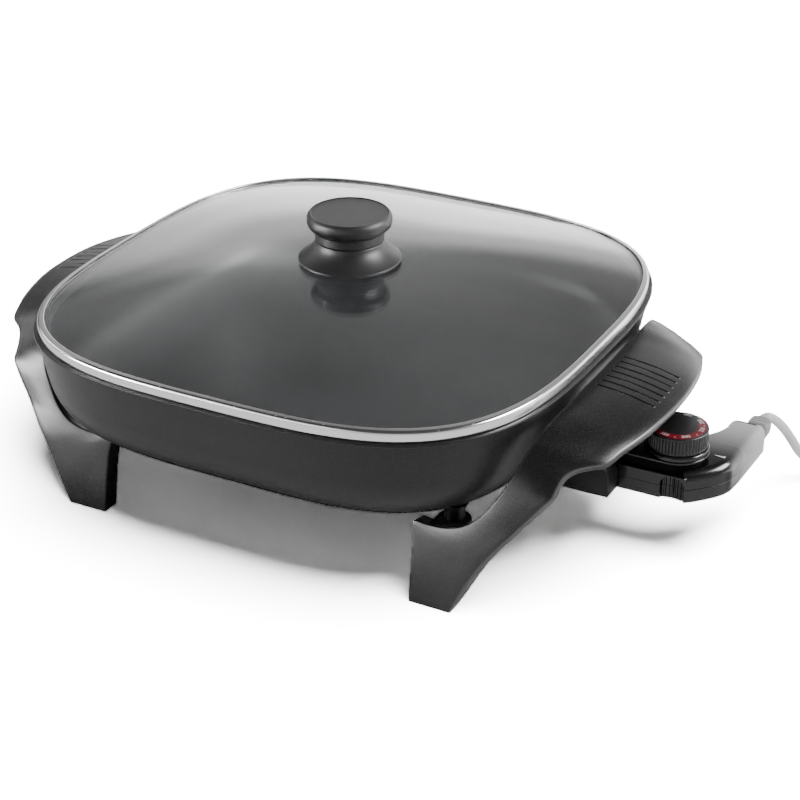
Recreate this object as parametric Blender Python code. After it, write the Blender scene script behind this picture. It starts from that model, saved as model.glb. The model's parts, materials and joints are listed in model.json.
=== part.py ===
"""Square electric skillet: a cast pan on two one-piece handle-and-leg mouldings, a domed glass lid that lifts
off by its knob, and a plug-in temperature probe with a dial and a short power cord.

The pan's centre is at X 0, Y 0 of the assembly and the floor is at Z 0. +X points to the probe, and -Y to
the front. Lengths are in metres."""

import math

import bmesh
import bpy
import numpy as np
from mathutils import Vector

# General clearances and facet counts
CLEARANCE = 0.0003
OVERRUN = 0.002
RING_FACETS = 60
ROUND_FACETS = 28
SMALL_FACETS = 12
RELIEF_FACETS = 16
ARC_STEPS = 4

# Pan: a squared bowl with a flat base, a rounded shoulder, a flared wall and a thin lip
PAN_BASE_Z = 0.0490
PAN_SHOULDER_Z = 0.0742
PAN_RIM_Z = 0.1058
PAN_RIM_HALF = 0.1518
LIP_OVERHANG = 0.0010
WALL_FLARE = 0.0066
SHOULDER_RUN = 0.0352
PAN_WALL_TOP_HALF = PAN_RIM_HALF - LIP_OVERHANG
PAN_SHOULDER_HALF = PAN_WALL_TOP_HALF - WALL_FLARE
PAN_BASE_HALF = PAN_SHOULDER_HALF - SHOULDER_RUN
PAN_FLOOR = 0.0040
PAN_WALL = 0.0032
BASE_SQUARENESS = 3.65
RIM_SQUARENESS = 3.28
LIP_HEIGHT = 0.0014
RIM_WIDTH = 0.0031
LEDGE_WIDTH = 0.0050
LEDGE_DROP = 0.0028

# Heating element, its two pins and the tube for the probe's sensor, all under the base
ELEMENT_RADIUS = 0.0033
ELEMENT_INSET = 0.0210
ELEMENT_NECK_INSET = 0.0170
ELEMENT_END_REACH = 0.0170
ELEMENT_HALF = PAN_BASE_HALF - ELEMENT_INSET
ELEMENT_CORNER = 0.0360
ELEMENT_NECK_X = PAN_BASE_HALF - ELEMENT_NECK_INSET
ELEMENT_NECK_RADIUS = 0.0110
ELEMENT_END_X = PAN_BASE_HALF + ELEMENT_END_REACH
PIN_Z = 0.0453
PIN_SPREAD = 0.0110
PIN_RADIUS = 0.0023
PIN_LENGTH = 0.0400
PIN_END_X = ELEMENT_END_X + PIN_LENGTH
INSULATOR_RADIUS = 0.0046
INSULATOR_LENGTH = 0.0100
BEAD_WIDTH = 0.0120
BEAD_BOTTOM_Z = 0.0452
STEM_RADIUS = 0.0024
STEM_TIP_DEPTH = 0.0180
WELL_DEPTH = 0.0220
WELL_REACH = 0.0140
STEM_TIP_X = ELEMENT_END_X - STEM_TIP_DEPTH
WELL_START_X = ELEMENT_END_X - WELL_DEPTH
WELL_END_X = ELEMENT_END_X + WELL_REACH
WELL_RADIUS = 0.0033
WELL_BORE_RADIUS = 0.0027
WELL_BLOCK_DEPTH = 0.0300
WELL_BLOCK_START_X = ELEMENT_END_X - WELL_BLOCK_DEPTH
WELL_BLOCK_LENGTH = 0.0230
WELL_BLOCK_WIDTH = 0.0094
WELL_BLOCK_WALL = 0.0014

# Handles: each is one strip that runs from a front foot over a broad grip to a back foot
FOOT_INSET = 0.0146
FOOT_REACH = 0.0027
FOOT_X = PAN_BASE_HALF - FOOT_INSET
FOOT_WIDTH = 0.0242
FOOT_Y = PAN_BASE_HALF + FOOT_REACH
GRIP_GAP = 0.0012
GRIP_INNER_Z = 0.0972
GRIP_DEPTH = 0.0448
GRIP_DROOP = 0.0082
GRIP_CROWN = 0.0022
HANDLE_SKIN = 0.0026
FOOT_FLANGE = 0.0110
EDGE_FLANGE = 0.0032
FLANGE_THICKNESS = 0.0024
GROOVE_COUNT = 7
GROOVE_PITCH = 0.00605
GROOVE_WIDTH = 0.0010
GROOVE_DEPTH = 0.0008
GROOVE_START_SHARE = 0.114
GROOVE_END_SHARE = 0.830

# Rails of the front half of a handle, from foot to grip. A row is the inner edge's X, Y and Z, the outer
# edge's X, Y and Z, the flange's tilt and depth, and the crown, all as shares: X from the foot to the grip,
# Y of the foot's reach, Z of the grip's edge, tilt from level to plumb, depth from edge to foot, crown of the
# grip's
RAIL_SHARES = (
    (0.000, 0.999, 0.000, 0.000, 1.001, 0.000, 0.00, 1.00, 0.05),
    (-0.004, 0.990, 0.093, 0.026, 0.999, 0.049, 0.04, 1.00, 0.10),
    (-0.007, 0.975, 0.206, 0.056, 0.996, 0.101, 0.07, 1.00, 0.25),
    (-0.014, 0.948, 0.350, 0.099, 0.991, 0.178, 0.10, 1.00, 0.40),
    (-0.023, 0.927, 0.449, 0.145, 0.982, 0.253, 0.12, 0.95, 0.45),
    (0.100, 0.929, 0.450, 0.193, 0.971, 0.326, 0.13, 0.88, 0.45),
    (0.225, 0.932, 0.453, 0.243, 0.959, 0.393, 0.15, 0.80, 0.42),
    (0.350, 0.932, 0.466, 0.295, 0.943, 0.455, 0.17, 0.70, 0.40),
    (0.464, 0.928, 0.490, 0.346, 0.924, 0.511, 0.20, 0.60, 0.40),
    (0.564, 0.917, 0.530, 0.399, 0.902, 0.569, 0.24, 0.50, 0.40),
    (0.646, 0.902, 0.577, 0.452, 0.885, 0.627, 0.26, 0.42, 0.40),
    (0.705, 0.887, 0.626, 0.513, 0.867, 0.693, 0.28, 0.36, 0.40),
    (0.754, 0.874, 0.674, 0.560, 0.850, 0.746, 0.32, 0.30, 0.40),
    (0.807, 0.857, 0.733, 0.601, 0.827, 0.791, 0.38, 0.24, 0.40),
    (0.841, 0.840, 0.779, 0.610, 0.796, 0.833, 0.46, 0.18, 0.40),
    (0.870, 0.816, 0.821, 0.627, 0.756, 0.878, 0.54, 0.12, 0.45),
    (0.905, 0.773, 0.879, 0.672, 0.708, 0.906, 0.62, 0.08, 0.50),
    (0.946, 0.720, 0.940, 0.752, 0.660, 0.919, 0.70, 0.04, 0.60),
    (0.970, 0.653, 0.976, 0.816, 0.622, 0.922, 0.78, 0.00, 0.70),
    (0.986, 0.528, 0.998, 0.881, 0.513, 0.957, 0.90, 0.00, 0.85),
    (0.995, 0.376, 1.000, 0.939, 0.381, 0.978, 0.96, 0.00, 0.95),
    (0.998, 0.198, 1.000, 0.984, 0.203, 0.996, 1.00, 0.00, 1.00),
    (1.000, 0.000, 1.000, 1.000, 0.000, 1.000, 1.00, 0.00, 1.00),
)
SKIN_SHARES = (0.0, 0.12, 0.40, 0.72, 0.93, 1.0)
UNDER_SHARES = (0.74, 0.28)
CROWN_SHARES = (0.0, 0.42, 0.96, 0.90, 0.46, 0.0)

# Mounting of the handles: a tab at each leg's top, a boss under the pan, a screw and a washer
BOSS_REACH = 0.0010
BOSS_INSET = 0.0190
BOSS_X = PAN_BASE_HALF + BOSS_REACH
BOSS_Y = PAN_BASE_HALF - BOSS_INSET
BOSS_RADIUS = 0.0055
TAB_TOP_Z = 0.0432
TAB_THICKNESS = 0.0027
TAB_RADIUS = 0.0090
TAB_ROOT_INSET = 0.0070
TAB_ROOT_Y = PAN_BASE_HALF - TAB_ROOT_INSET
SCREW_RADIUS = 0.0017
SCREW_HEAD_RADIUS = 0.0038
SCREW_HEAD_HEIGHT = 0.0024
SCREW_BITE = 0.0065
CROWN_START_SHARE = 0.45
CROWN_END_SHARE = 0.88
CROWN_TOP_SHARE = 0.72
WASHER_RADIUS = 0.0052
WASHER_THICKNESS = 0.0009

# Socket guard: the hood round the pins, under the right grip
GUARD_DISTANCE = 0.0140
GUARD_LENGTH = 0.0290
GUARD_INNER_X = ELEMENT_END_X + GUARD_DISTANCE
GUARD_END_X = GUARD_INNER_X + GUARD_LENGTH
GUARD_MARGIN = 0.0190
GUARD_HALF_WIDTH = PIN_SPREAD + GUARD_MARGIN
GUARD_BOTTOM_Z = 0.0400
GUARD_TOP_Z = 0.0596
GUARD_ROUNDING = 0.0110
GUARD_WALL = 0.0016
GUARD_FOOT_DISTANCE = 0.0010
GUARD_FOOT_X = ELEMENT_END_X + GUARD_FOOT_DISTANCE
GUARD_FOOT_Y = 0.0240
GUARD_FOOT_THICKNESS = 0.0028
GUARD_FOOT_RADIUS = 0.0052
GUARD_BOSS_RADIUS = 0.0038

# Lid: a domed glass in a folded steel band
LID_INSET = 0.0018
LID_HALF = PAN_RIM_HALF - LID_INSET
LID_GAP = 0.0007
BAND_SHEET = 0.0007
BAND_FOLD = 0.0034
SKIRT_INSET = 0.0022
GLASS_THICKNESS = 0.0033
BAND_HEIGHT = GLASS_THICKNESS + 2 * (BAND_SHEET + CLEARANCE)
GLASS_EDGE_INSET = 0.0014
DOME_RISE = 0.0181
DOME_POWER = 2.3
GLASS_RING_SHARES = (0.95, 0.80, 0.55, 0.26)

# Knob, upwards from the glass
KNOB_SKIRT_RADIUS = 0.0283
KNOB_SKIRT_HEIGHT = 0.0121
KNOB_SKIRT_EDGE = 0.0020
KNOB_NECK_RADIUS = 0.0189
KNOB_CAP_RADIUS = 0.0234
KNOB_CAP_HEIGHT = 0.0149
KNOB_TOP_RADIUS = 0.0216
KNOB_DISH = 0.0006
KNOB_WALL = 0.0022
KNOB_DISH_SHARE = 0.85
KNOB_EDGE_SHARES = ((0.975, 0.08), (1.0, 0.22))
KNOB_UNDER_SHARES = ((1.0, 0.64), (0.75, 0.49), (0.5, 0.41), (0.25, 0.36), (0.0, 0.335), (0.0, 0.0))
KNOB_BOSS_RADIUS = 0.0070
KNOB_GASKET_RADIUS = 0.0080
KNOB_GASKET_THICKNESS = 0.0008
KNOB_SCREW_RADIUS = 0.0018
KNOB_SCREW_HEAD_RADIUS = 0.0050
KNOB_SCREW_HEAD_HEIGHT = 0.0025
KNOB_SCREW_BITE = 0.0060
KNOB_WASHER_RADIUS = 0.0072

# Probe in plan: a straight nose, a swept elbow and an arm that tapers to the cord
NOSE_DISTANCE = 0.0240
ELBOW_RUN = 0.0556
ELBOW_PULL_RUN = 0.0720
ARM_OUTER_RUN = 0.0727
ARM_FAR_RUN = 0.0763
ARM_NEAR_RUN = 0.0568
ARM_INNER_PULL_RUN = 0.0542
NOSE_BACK_RUN = 0.0340
NOSE_TIP_X = ELEMENT_END_X + NOSE_DISTANCE
NOSE_MARGIN = 0.0059
NOSE_HALF_WIDTH = PIN_SPREAD + NOSE_MARGIN
ELBOW_X = NOSE_TIP_X + ELBOW_RUN
ELBOW_PULL_X = NOSE_TIP_X + ELBOW_PULL_RUN
ELBOW_PULL_Y = -0.0026
ARM_OUTER_X = NOSE_TIP_X + ARM_OUTER_RUN
ARM_OUTER_Y = 0.0075
ARM_FAR_X = NOSE_TIP_X + ARM_FAR_RUN
ARM_NEAR_X = NOSE_TIP_X + ARM_NEAR_RUN
ARM_END_Y = 0.0510
ARM_CORNER = 0.0042
ARM_BACK_SHARE = 0.2
ARM_INNER_PULL_X = NOSE_TIP_X + ARM_INNER_PULL_RUN
ARM_INNER_PULL_Y = 0.0310
NOSE_BACK_X = NOSE_TIP_X + NOSE_BACK_RUN

# Probe in height: two housing halves, a low deck on the nose, a raised body and the dial's platform
PROBE_BOTTOM_Z = 0.0400
PROBE_PARTING_Z = 0.0464
DECK_TOP_Z = 0.0524
DECK_CHAMFER = 0.0008
PROBE_TOP_Z = 0.0567
PROBE_ROUNDING = 0.0038
PROBE_WALL = 0.0024
PROBE_FLOOR = 0.0016
ARM_UNDERSIDE_RISE = 0.0040
PLATFORM_TOP_Z = 0.0602
PLATFORM_THICKNESS = 0.0015
PLATFORM_HALF_WIDTH = 0.0176
PLATFORM_NECK = 0.0024
PLATFORM_RUN = 0.0200
PLATFORM_START_X = NOSE_TIP_X + PLATFORM_RUN
SCOOP_RUN = 0.0490
SCOOP_X = NOSE_TIP_X + SCOOP_RUN
SCOOP_RADIUS = 0.0066
SCOOP_DEPTH = 0.0028
SCOOP_RIB = 0.0006
SCOOP_STEPS = 12
NOSE_SCREW_RUN = 0.0258
NOSE_SCREW_INSET = 0.0089
NOSE_SCREW_Y = NOSE_SCREW_INSET - NOSE_HALF_WIDTH
ARM_SCREW_RUN = 0.0636
ARM_SCREW_Y = 0.0330
HOUSING_SCREWS = ((NOSE_TIP_X + NOSE_SCREW_RUN, NOSE_SCREW_Y), (NOSE_TIP_X + ARM_SCREW_RUN, ARM_SCREW_Y))
HOUSING_POST_RADIUS = 0.0030
HOUSING_SCREW_RADIUS = 0.0013
HOUSING_HEAD_RADIUS = 0.0027
HOUSING_HEAD_HEIGHT = 0.0016
HOUSING_BITE = 0.0060

# Inside the probe: the sensor stem, two contact tubes and the thermostat
CONTACT_RADIUS = 0.0030
CONTACT_BORE = 0.0026
CONTACT_LENGTH = 0.0180
STEM_END_RUN = 0.0480
STEM_END_X = NOSE_TIP_X + STEM_END_RUN
FRAME_RUN = 0.0300
FRAME_START_X = NOSE_TIP_X + FRAME_RUN
FRAME_LENGTH = 0.0240
FRAME_INSET = 0.0084
FRAME_HALF_WIDTH = NOSE_HALF_WIDTH - FRAME_INSET
FRAME_HEIGHT = 0.0068
FRAME_SHEET = 0.0007
LEAF_LENGTH = 0.0260
LEAF_HEIGHT = 0.0042
LEAF_THICKNESS = 0.0006
LEAF_INSET = 0.0057
LEAF_Y = NOSE_HALF_WIDTH - LEAF_INSET

# Dial on the probe
DIAL_RUN = 0.0444
DIAL_X = NOSE_TIP_X + DIAL_RUN
DIAL_RADIUS = 0.0154
DIAL_TOP_Z = 0.0736
DIAL_RIB_COUNT = 48
DIAL_RIB_DEPTH = 0.0005
DIAL_CHAMFER = 0.0006
BEZEL_RADIUS = 0.0168
BEZEL_HEIGHT = 0.0026
DIAL_FACE_RADIUS = 0.0144
DIAL_FACE_THICKNESS = 0.0005
DIAL_SHAFT_RADIUS = 0.0028
DIAL_SHAFT_BOTTOM_Z = 0.0494
DIAL_SOCKET_DEPTH = 0.0060

# Strain relief, cord, coil and plug
RELIEF_RUN = 0.0704
RELIEF_X = NOSE_TIP_X + RELIEF_RUN
RELIEF_Z = 0.0515
RELIEF_WIDTH = 0.0114
RELIEF_HEIGHT = 0.0092
RELIEF_BLOCK_LENGTH = 0.0084
RELIEF_RIBS = 4
RELIEF_RIB_DEPTH = 0.0007
RELIEF_RIB_SHARES = ((0.0, 0), (0.55, 0), (0.65, 1), (0.9, 1))
RELIEF_NECK_SHARES = (1.2, 1.1)
RELIEF_TAPER_LENGTH = 0.0062
RELIEF_END_RADIUS = 0.0036
CORD_DIAMETER = 0.0054
CORD_ROUTE = (
    (0.2204, 0.0664, 0.0515),
    (0.2205, 0.0706, 0.0514),
    (0.2228, 0.0768, 0.0480),
    (0.2256, 0.0848, 0.0412),
    (0.2290, 0.0916, 0.0318),
    (0.2336, 0.0990, 0.0196),
    (0.2402, 0.1062, 0.0098),
    (0.2498, 0.1132, 0.0046),
    (0.2630, 0.1216, 0.0031),
    (0.2815, 0.1320, 0.0030),
)
CORD_POINTS = 26
COIL_X = 0.3000
COIL_Y = 0.1000
COIL_OUTER_RADIUS = 0.0370
COIL_LOOPS_A_LAYER = 2
COIL_LOOP_POINTS = 24
COIL_PITCH = CORD_DIAMETER + 0.0008
PLUG_LENGTH = 0.0300
PLUG_WIDTH = 0.0240
PLUG_HEIGHT = 0.0150
PLUG_NECK_LENGTH = 0.0120
PLUG_NECK_WALL = 0.0011
PLUG_NECK_SHARES = (0.8, 1.15, 1.1)
# Rows of the plug's body: how far along it, its half-width, its half-height and its squareness
PLUG_BODY_SHARES = (
    (0.08, 0.62, 0.72, 2.6),
    (0.35, 0.88, 0.92, 3.2),
    (0.75, 1.0, 1.0, 4.0),
    (1.0, 0.97, 0.97, 4.0),
)
BLADE_LENGTH = 0.0160
BLADE_WIDTH = 0.0063
BLADE_THICKNESS = 0.0015
BLADE_SPREAD = 0.0127


def clear_scene():
    for thing in list(bpy.data.objects):
        bpy.data.objects.remove(thing, do_unlink=True)


def finish(name, color, roughness, metallic=0.0):
    """A Principled material in one colour."""
    made = bpy.data.materials.new(name)
    made.use_nodes = True
    shader = made.node_tree.nodes["Principled BSDF"]
    shader.inputs["Base Color"].default_value = (*color, 1)
    shader.inputs["Roughness"].default_value = roughness
    shader.inputs["Metallic"].default_value = metallic
    return made


def pivot(name, location, parent=None):
    """An empty that carries the pieces of one moving body."""
    empty = bpy.data.objects.new(name, None)
    bpy.context.scene.collection.objects.link(empty)
    empty.location = location
    empty.parent = parent
    return empty


def place(name, mesh, parent, material=None, smooth_angle=None, location=(0, 0, 0)):
    """An object of this mesh under its parent, shaded smooth below the angle."""
    piece = bpy.data.objects.new(name, mesh)
    bpy.context.scene.collection.objects.link(piece)
    piece.parent = parent
    piece.location = location
    if material:
        mesh.materials.append(material)
    if smooth_angle is not None:
        mesh.shade_smooth()
        mesh.set_sharp_from_angle(angle=math.radians(smooth_angle))
    return piece


def helper(piece):
    """Marks an operand of a Boolean, which isn't part of the model."""
    piece.hide_render = True
    piece.display_type = "WIRE"
    return piece


def combine(piece, operand, operation):
    step = piece.modifiers.new(operation.title() + " " + operand.name, "BOOLEAN")
    step.operation = operation
    step.object = helper(operand)
    step.solver = "EXACT"


def mesh_of(name, bm):
    bmesh.ops.recalc_face_normals(bm, faces=bm.faces)
    mesh = bpy.data.meshes.new(name)
    bm.to_mesh(mesh)
    bm.free()
    return mesh


def joined(name, meshes):
    """One mesh of several closed shapes that stand apart."""
    bm = bmesh.new()
    for mesh in meshes:
        bm.from_mesh(mesh)
    return mesh_of(name, bm)


def skinned(name, rings, closed=False):
    """A surface through rings of equally many points. Its ends are capped, or meet when closed."""
    bm = bmesh.new()
    rows = [[bm.verts.new(point) for point in ring] for ring in rings]
    pairs = list(zip(rows, rows[1:]))
    if closed:
        pairs.append((rows[-1], rows[0]))
    else:
        bm.faces.new(rows[0])
        bm.faces.new(rows[-1])
    for low, high in pairs:
        for i in range(len(low)):
            k = (i + 1) % len(low)
            bm.faces.new((low[i], low[k], high[k], high[i]))
    return mesh_of(name, bm)


def turned(name, profile, parent, material=None, facets=ROUND_FACETS, hollow=False, location=(0, 0, 0)):
    """A turned solid about Z. The profile runs down the outer side and, when hollow, back up the bore."""
    mesh = bpy.data.meshes.new(name)
    count = len(profile)
    edges = [(i, i + 1) for i in range(count - 1)]
    if hollow:
        edges.append((count - 1, 0))
    mesh.from_pydata([(r, 0, z) for r, z in profile], edges, [])
    piece = place(name, mesh, parent, material, location=location)
    spin = piece.modifiers.new("Turn", "SCREW")
    spin.steps = facets
    spin.render_steps = facets
    spin.use_merge_vertices = True
    spin.merge_threshold = 0.00001
    return piece


def squared_ring(half, squareness, z, facets=RING_FACETS):
    """Points of a rounded square of this half-width, evenly spread in angle."""
    angle = np.arange(facets) * 2 * math.pi / facets
    reach = (np.abs(np.cos(angle)) ** squareness + np.abs(np.sin(angle)) ** squareness) ** (-1 / squareness)
    return np.stack([half * reach * np.cos(angle), half * reach * np.sin(angle), np.full(facets, z)], 1)


def pan_squareness(z):
    share = min(max((z - PAN_BASE_Z) / (PAN_RIM_Z - PAN_BASE_Z), 0), 1)
    return BASE_SQUARENESS + (RIM_SQUARENESS - BASE_SQUARENESS) * share


def pan_ring(half, z):
    return squared_ring(half, pan_squareness(z), z)


def pan_half_at(z):
    """Half-width of the pan's outer wall at a height above its shoulder."""
    share = (z - PAN_SHOULDER_Z) / (PAN_RIM_Z - LIP_HEIGHT - PAN_SHOULDER_Z)
    return PAN_SHOULDER_HALF + (PAN_WALL_TOP_HALF - PAN_SHOULDER_HALF) * share


def shoulder(inset, base_z):
    """Half-widths and heights of the rounded shoulder, from the flat base up to the wall."""
    angles = [math.pi / 2 * (1 - k / ARC_STEPS) for k in range(ARC_STEPS + 1)]
    run = PAN_SHOULDER_HALF - PAN_BASE_HALF
    drop = PAN_SHOULDER_Z - base_z
    return [
        (PAN_BASE_HALF - inset + run * math.cos(a), PAN_SHOULDER_Z - drop * math.sin(a)) for a in angles
    ]


def arc(centre, radius, start, end, steps):
    """Points on a circle between two angles in degrees."""
    spread = [math.radians(start + (end - start) * k / steps) for k in range(steps + 1)]
    return [(centre[0] + radius * math.cos(a), centre[1] + radius * math.sin(a)) for a in spread]


def bent(start, control, end, steps):
    """Points on a quadratic curve."""
    shares = [k / steps for k in range(steps + 1)]
    return [
        tuple((1 - s) ** 2 * p + 2 * s * (1 - s) * q + s * s * r for p, q, r in zip(start, control, end))
        for s in shares
    ]


def extruded(name, outline, bottom_z, top_z):
    """A closed prism of a plan outline."""
    return skinned(name, [[(x, y, z) for x, y in outline] for z in (bottom_z, top_z)])


def profile_across(name, outline, low_y, high_y):
    """A closed prism of an outline in X and Z, across Y."""
    return skinned(name, [[(x, y, z) for x, z in outline] for y in (low_y, high_y)])


def rod_along_x(name, start_x, end_x, y, z, radius, facets=SMALL_FACETS):
    angles = [2 * math.pi * k / facets for k in range(facets)]
    return skinned(
        name,
        [[(x, y + radius * math.cos(a), z + radius * math.sin(a)) for a in angles] for x in (start_x, end_x)],
    )


def tube_along_x(name, start_x, end_x, y, z, radius, bore, facets=SMALL_FACETS):
    angles = [2 * math.pi * k / facets for k in range(facets)]
    stations = ((start_x, radius), (end_x, radius), (end_x, bore), (start_x, bore))
    return skinned(
        name,
        [[(x, y + r * math.cos(a), z + r * math.sin(a)) for a in angles] for x, r in stations],
        closed=True,
    )


def element_route(end_x):
    """Plan of the element's centre line: two straight ends side by side, a rounded square between them."""
    neck = ELEMENT_NECK_X
    half = ELEMENT_HALF
    corner = ELEMENT_CORNER
    turn = ELEMENT_NECK_RADIUS
    inner = half - corner
    front = [(end_x, -PIN_SPREAD)]
    front += arc((neck + turn, -PIN_SPREAD - turn), turn, 90, 180, ARC_STEPS)
    front += arc((neck - corner, -inner), corner, 0, -90, ARC_STEPS)
    front += arc((-inner, -inner), corner, -90, -180, ARC_STEPS)
    return front + [(x, -y) for x, y in reversed(front)]


def level_tube(name, route, z, radius, facets):
    """A tube along a level route, square to it at both ends."""
    points = np.array(route)
    ahead = np.gradient(points, axis=0)
    ahead[0] = points[1] - points[0]
    ahead[-1] = points[-1] - points[-2]
    ahead /= np.linalg.norm(ahead, axis=1)[:, None]
    rings = []
    for (x, y), (dx, dy) in zip(points, ahead):
        turns = [2 * math.pi * k / facets for k in range(facets)]
        sides = [(radius * math.cos(a), radius * math.sin(a)) for a in turns]
        rings.append([(x - dy * out, y + dx * out, z + up) for out, up in sides])
    return skinned(name, rings)


def level_bar(name, route, width, bottom_z, top_z):
    """A flat bar of this width along a level route."""
    points = np.array(route)
    ahead = np.gradient(points, axis=0)
    ahead /= np.linalg.norm(ahead, axis=1)[:, None]
    side = np.stack([-ahead[:, 1], ahead[:, 0]], 1) * width / 2
    rings = []
    for left, right in zip(points + side, points - side):
        rings.append([(*left, bottom_z), (*right, bottom_z), (*right, top_z), (*left, top_z)])
    return skinned(name, rings)


def box_outline(x, y, length, width):
    return [(x, y), (x + length, y), (x + length, y + width), (x, y + width)]


def post(name, x, y, bottom_z, top_z, radius, facets=SMALL_FACETS):
    return extruded(name, arc((x, y), radius, 0, 360 - 360 / facets, facets - 1), bottom_z, top_z)


def corners(x, y):
    """The four places that mirror this one, with their names."""
    return [
        (f"{end}_{side}", sx * x, sy * y)
        for side, sx in (("left", -1), ("right", 1))
        for end, sy in (("front", -1), ("back", 1))
    ]


def make_pan(base, material):
    outer = [pan_ring(half, z) for half, z in shoulder(0, PAN_BASE_Z)]
    outer.append(pan_ring(PAN_WALL_TOP_HALF, PAN_RIM_Z - LIP_HEIGHT))
    outer.append(pan_ring(PAN_RIM_HALF, PAN_RIM_Z - LIP_HEIGHT + CLEARANCE))
    outer.append(pan_ring(PAN_RIM_HALF, PAN_RIM_Z))
    pan = place("skillet_pan", skinned("skillet_pan", outer), base, material, 35)

    boss_top = PAN_SHOULDER_Z
    boss_low = TAB_TOP_Z + CLEARANCE
    added = [post("boss", x, y, boss_low, boss_top, BOSS_RADIUS) for _, x, y in corners(BOSS_X, BOSS_Y)]
    guard_boss_bottom = GUARD_BOTTOM_Z + GUARD_FOOT_THICKNESS + CLEARANCE
    for y in (-GUARD_FOOT_Y, GUARD_FOOT_Y):
        added.append(post("guard_boss", GUARD_FOOT_X, y, guard_boss_bottom, boss_top, GUARD_BOSS_RADIUS))
    route = element_route(ELEMENT_END_X - ELEMENT_NECK_RADIUS)
    added.append(level_bar("bead", route, BEAD_WIDTH, BEAD_BOTTOM_Z, PAN_BASE_Z + PAN_FLOOR / 2))
    block = box_outline(WELL_BLOCK_START_X, -WELL_BLOCK_WIDTH / 2, WELL_BLOCK_LENGTH, WELL_BLOCK_WIDTH)
    added.append(extruded("block", block, PIN_Z - WELL_RADIUS - WELL_BLOCK_WALL, PAN_BASE_Z + PAN_FLOOR / 2))
    combine(pan, place("pan_castings", joined("pan_castings", added), base), "UNION")

    inside = [pan_ring(half, z) for half, z in shoulder(PAN_WALL, PAN_BASE_Z + PAN_FLOOR)]
    ledge_z = PAN_RIM_Z - LEDGE_DROP
    rim_inner = PAN_RIM_HALF - RIM_WIDTH
    inside.append(pan_ring(rim_inner - LEDGE_WIDTH, ledge_z))
    inside.append(pan_ring(rim_inner, ledge_z + CLEARANCE))
    inside.append(pan_ring(rim_inner, PAN_RIM_Z + OVERRUN))
    combine(pan, place("pan_hollow", skinned("pan_hollow", inside), base), "DIFFERENCE")

    route = element_route(ELEMENT_END_X + OVERRUN)
    groove = level_tube("groove", route, PIN_Z, ELEMENT_RADIUS + CLEARANCE, SMALL_FACETS)
    combine(pan, place("element_groove", groove, base), "DIFFERENCE")
    bore = rod_along_x("bore", WELL_START_X - CLEARANCE, WELL_END_X, 0, PIN_Z, WELL_RADIUS + CLEARANCE)
    combine(pan, place("well_bore", bore, base), "DIFFERENCE")
    hole = SCREW_RADIUS + CLEARANCE
    tip = screw_tip(TAB_TOP_Z)
    holes = [post("hole", x, y, GUARD_BOTTOM_Z, tip, hole) for _, x, y in corners(BOSS_X, BOSS_Y)]
    for y in (-GUARD_FOOT_Y, GUARD_FOOT_Y):
        holes.append(post("hole", GUARD_FOOT_X, y, GUARD_BOTTOM_Z, screw_tip(guard_boss_bottom), hole))
    combine(pan, place("pan_screw_holes", joined("pan_screw_holes", holes), base), "DIFFERENCE")


def screw_tip(seat_z):
    """Top of a blind screw hole that starts at this height."""
    return seat_z + SCREW_BITE + CLEARANCE


def make_element(base, metal, pin_metal, ceramic):
    route = element_route(ELEMENT_END_X)
    element = level_tube("heating_element", route, PIN_Z, ELEMENT_RADIUS, SMALL_FACETS)
    place("heating_element", element, base, metal, 50)
    for end, side in (("front", -1), ("back", 1)):
        y = side * PIN_SPREAD
        start = ELEMENT_END_X + CLEARANCE
        sleeve_end = start + INSULATOR_LENGTH
        sleeve = tube_along_x(
            "pin_insulator_" + end, start, sleeve_end, y, PIN_Z, INSULATOR_RADIUS, PIN_RADIUS + CLEARANCE
        )
        place("pin_insulator_" + end, sleeve, base, ceramic, 50)
        pin = rod_along_x("terminal_pin_" + end, start, PIN_END_X, y, PIN_Z, PIN_RADIUS)
        place("terminal_pin_" + end, pin, base, pin_metal, 50)
    well = tube_along_x("sensor_well", WELL_START_X, WELL_END_X, 0, PIN_Z, WELL_RADIUS, WELL_BORE_RADIUS)
    place("sensor_well", well, base, metal, 50)


def grip_inner_x():
    return pan_half_at(GRIP_INNER_Z) + GRIP_GAP


def rail_rows():
    """Both halves of the handle: the inner edge, outer edge, flange direction, flange depth and crown."""
    inner_x = grip_inner_x()
    outer_x = inner_x + GRIP_DEPTH
    outer_z = GRIP_INNER_Z - GRIP_DROOP
    rows = []
    for ix, iy, iz, ox, oy, oz, tilt, depth, crown in RAIL_SHARES:
        inner = Vector((FOOT_X + (inner_x - FOOT_X) * ix, -FOOT_Y * iy, GRIP_INNER_Z * iz))
        foot_outer = FOOT_X + FOOT_WIDTH
        outer = Vector((foot_outer + (outer_x - foot_outer) * ox, -FOOT_Y * oy, outer_z * oz))
        angle = math.pi / 2 * tilt
        inward = Vector((0, math.cos(angle), -math.sin(angle)))
        flange = EDGE_FLANGE + (FOOT_FLANGE - EDGE_FLANGE) * depth
        rows.append((inner, outer, inward, flange, GRIP_CROWN * crown))
    mirror = Vector((1, -1, 1))
    return rows + [(i * mirror, o * mirror, d * mirror, f, c) for i, o, d, f, c in reversed(rows[:-1])]


def slant(points, k, across):
    """Sine of the smaller angle between a section and the two stretches of edge that meet there."""
    stretches = [points[i + 1] - points[i] for i in (k - 1, k) if 0 <= i < len(points) - 1]
    return min(stretch.normalized().cross(across).length for stretch in stretches)


def skin_point(row, share):
    """A point of the handle's outer skin: straight from edge to edge, and raised by the crown."""
    inner, outer, inward, _, crown = row
    raised = crown * float(np.interp(share, SKIN_SHARES, CROWN_SHARES))
    return inner.lerp(outer, share) - inward * raised


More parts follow.
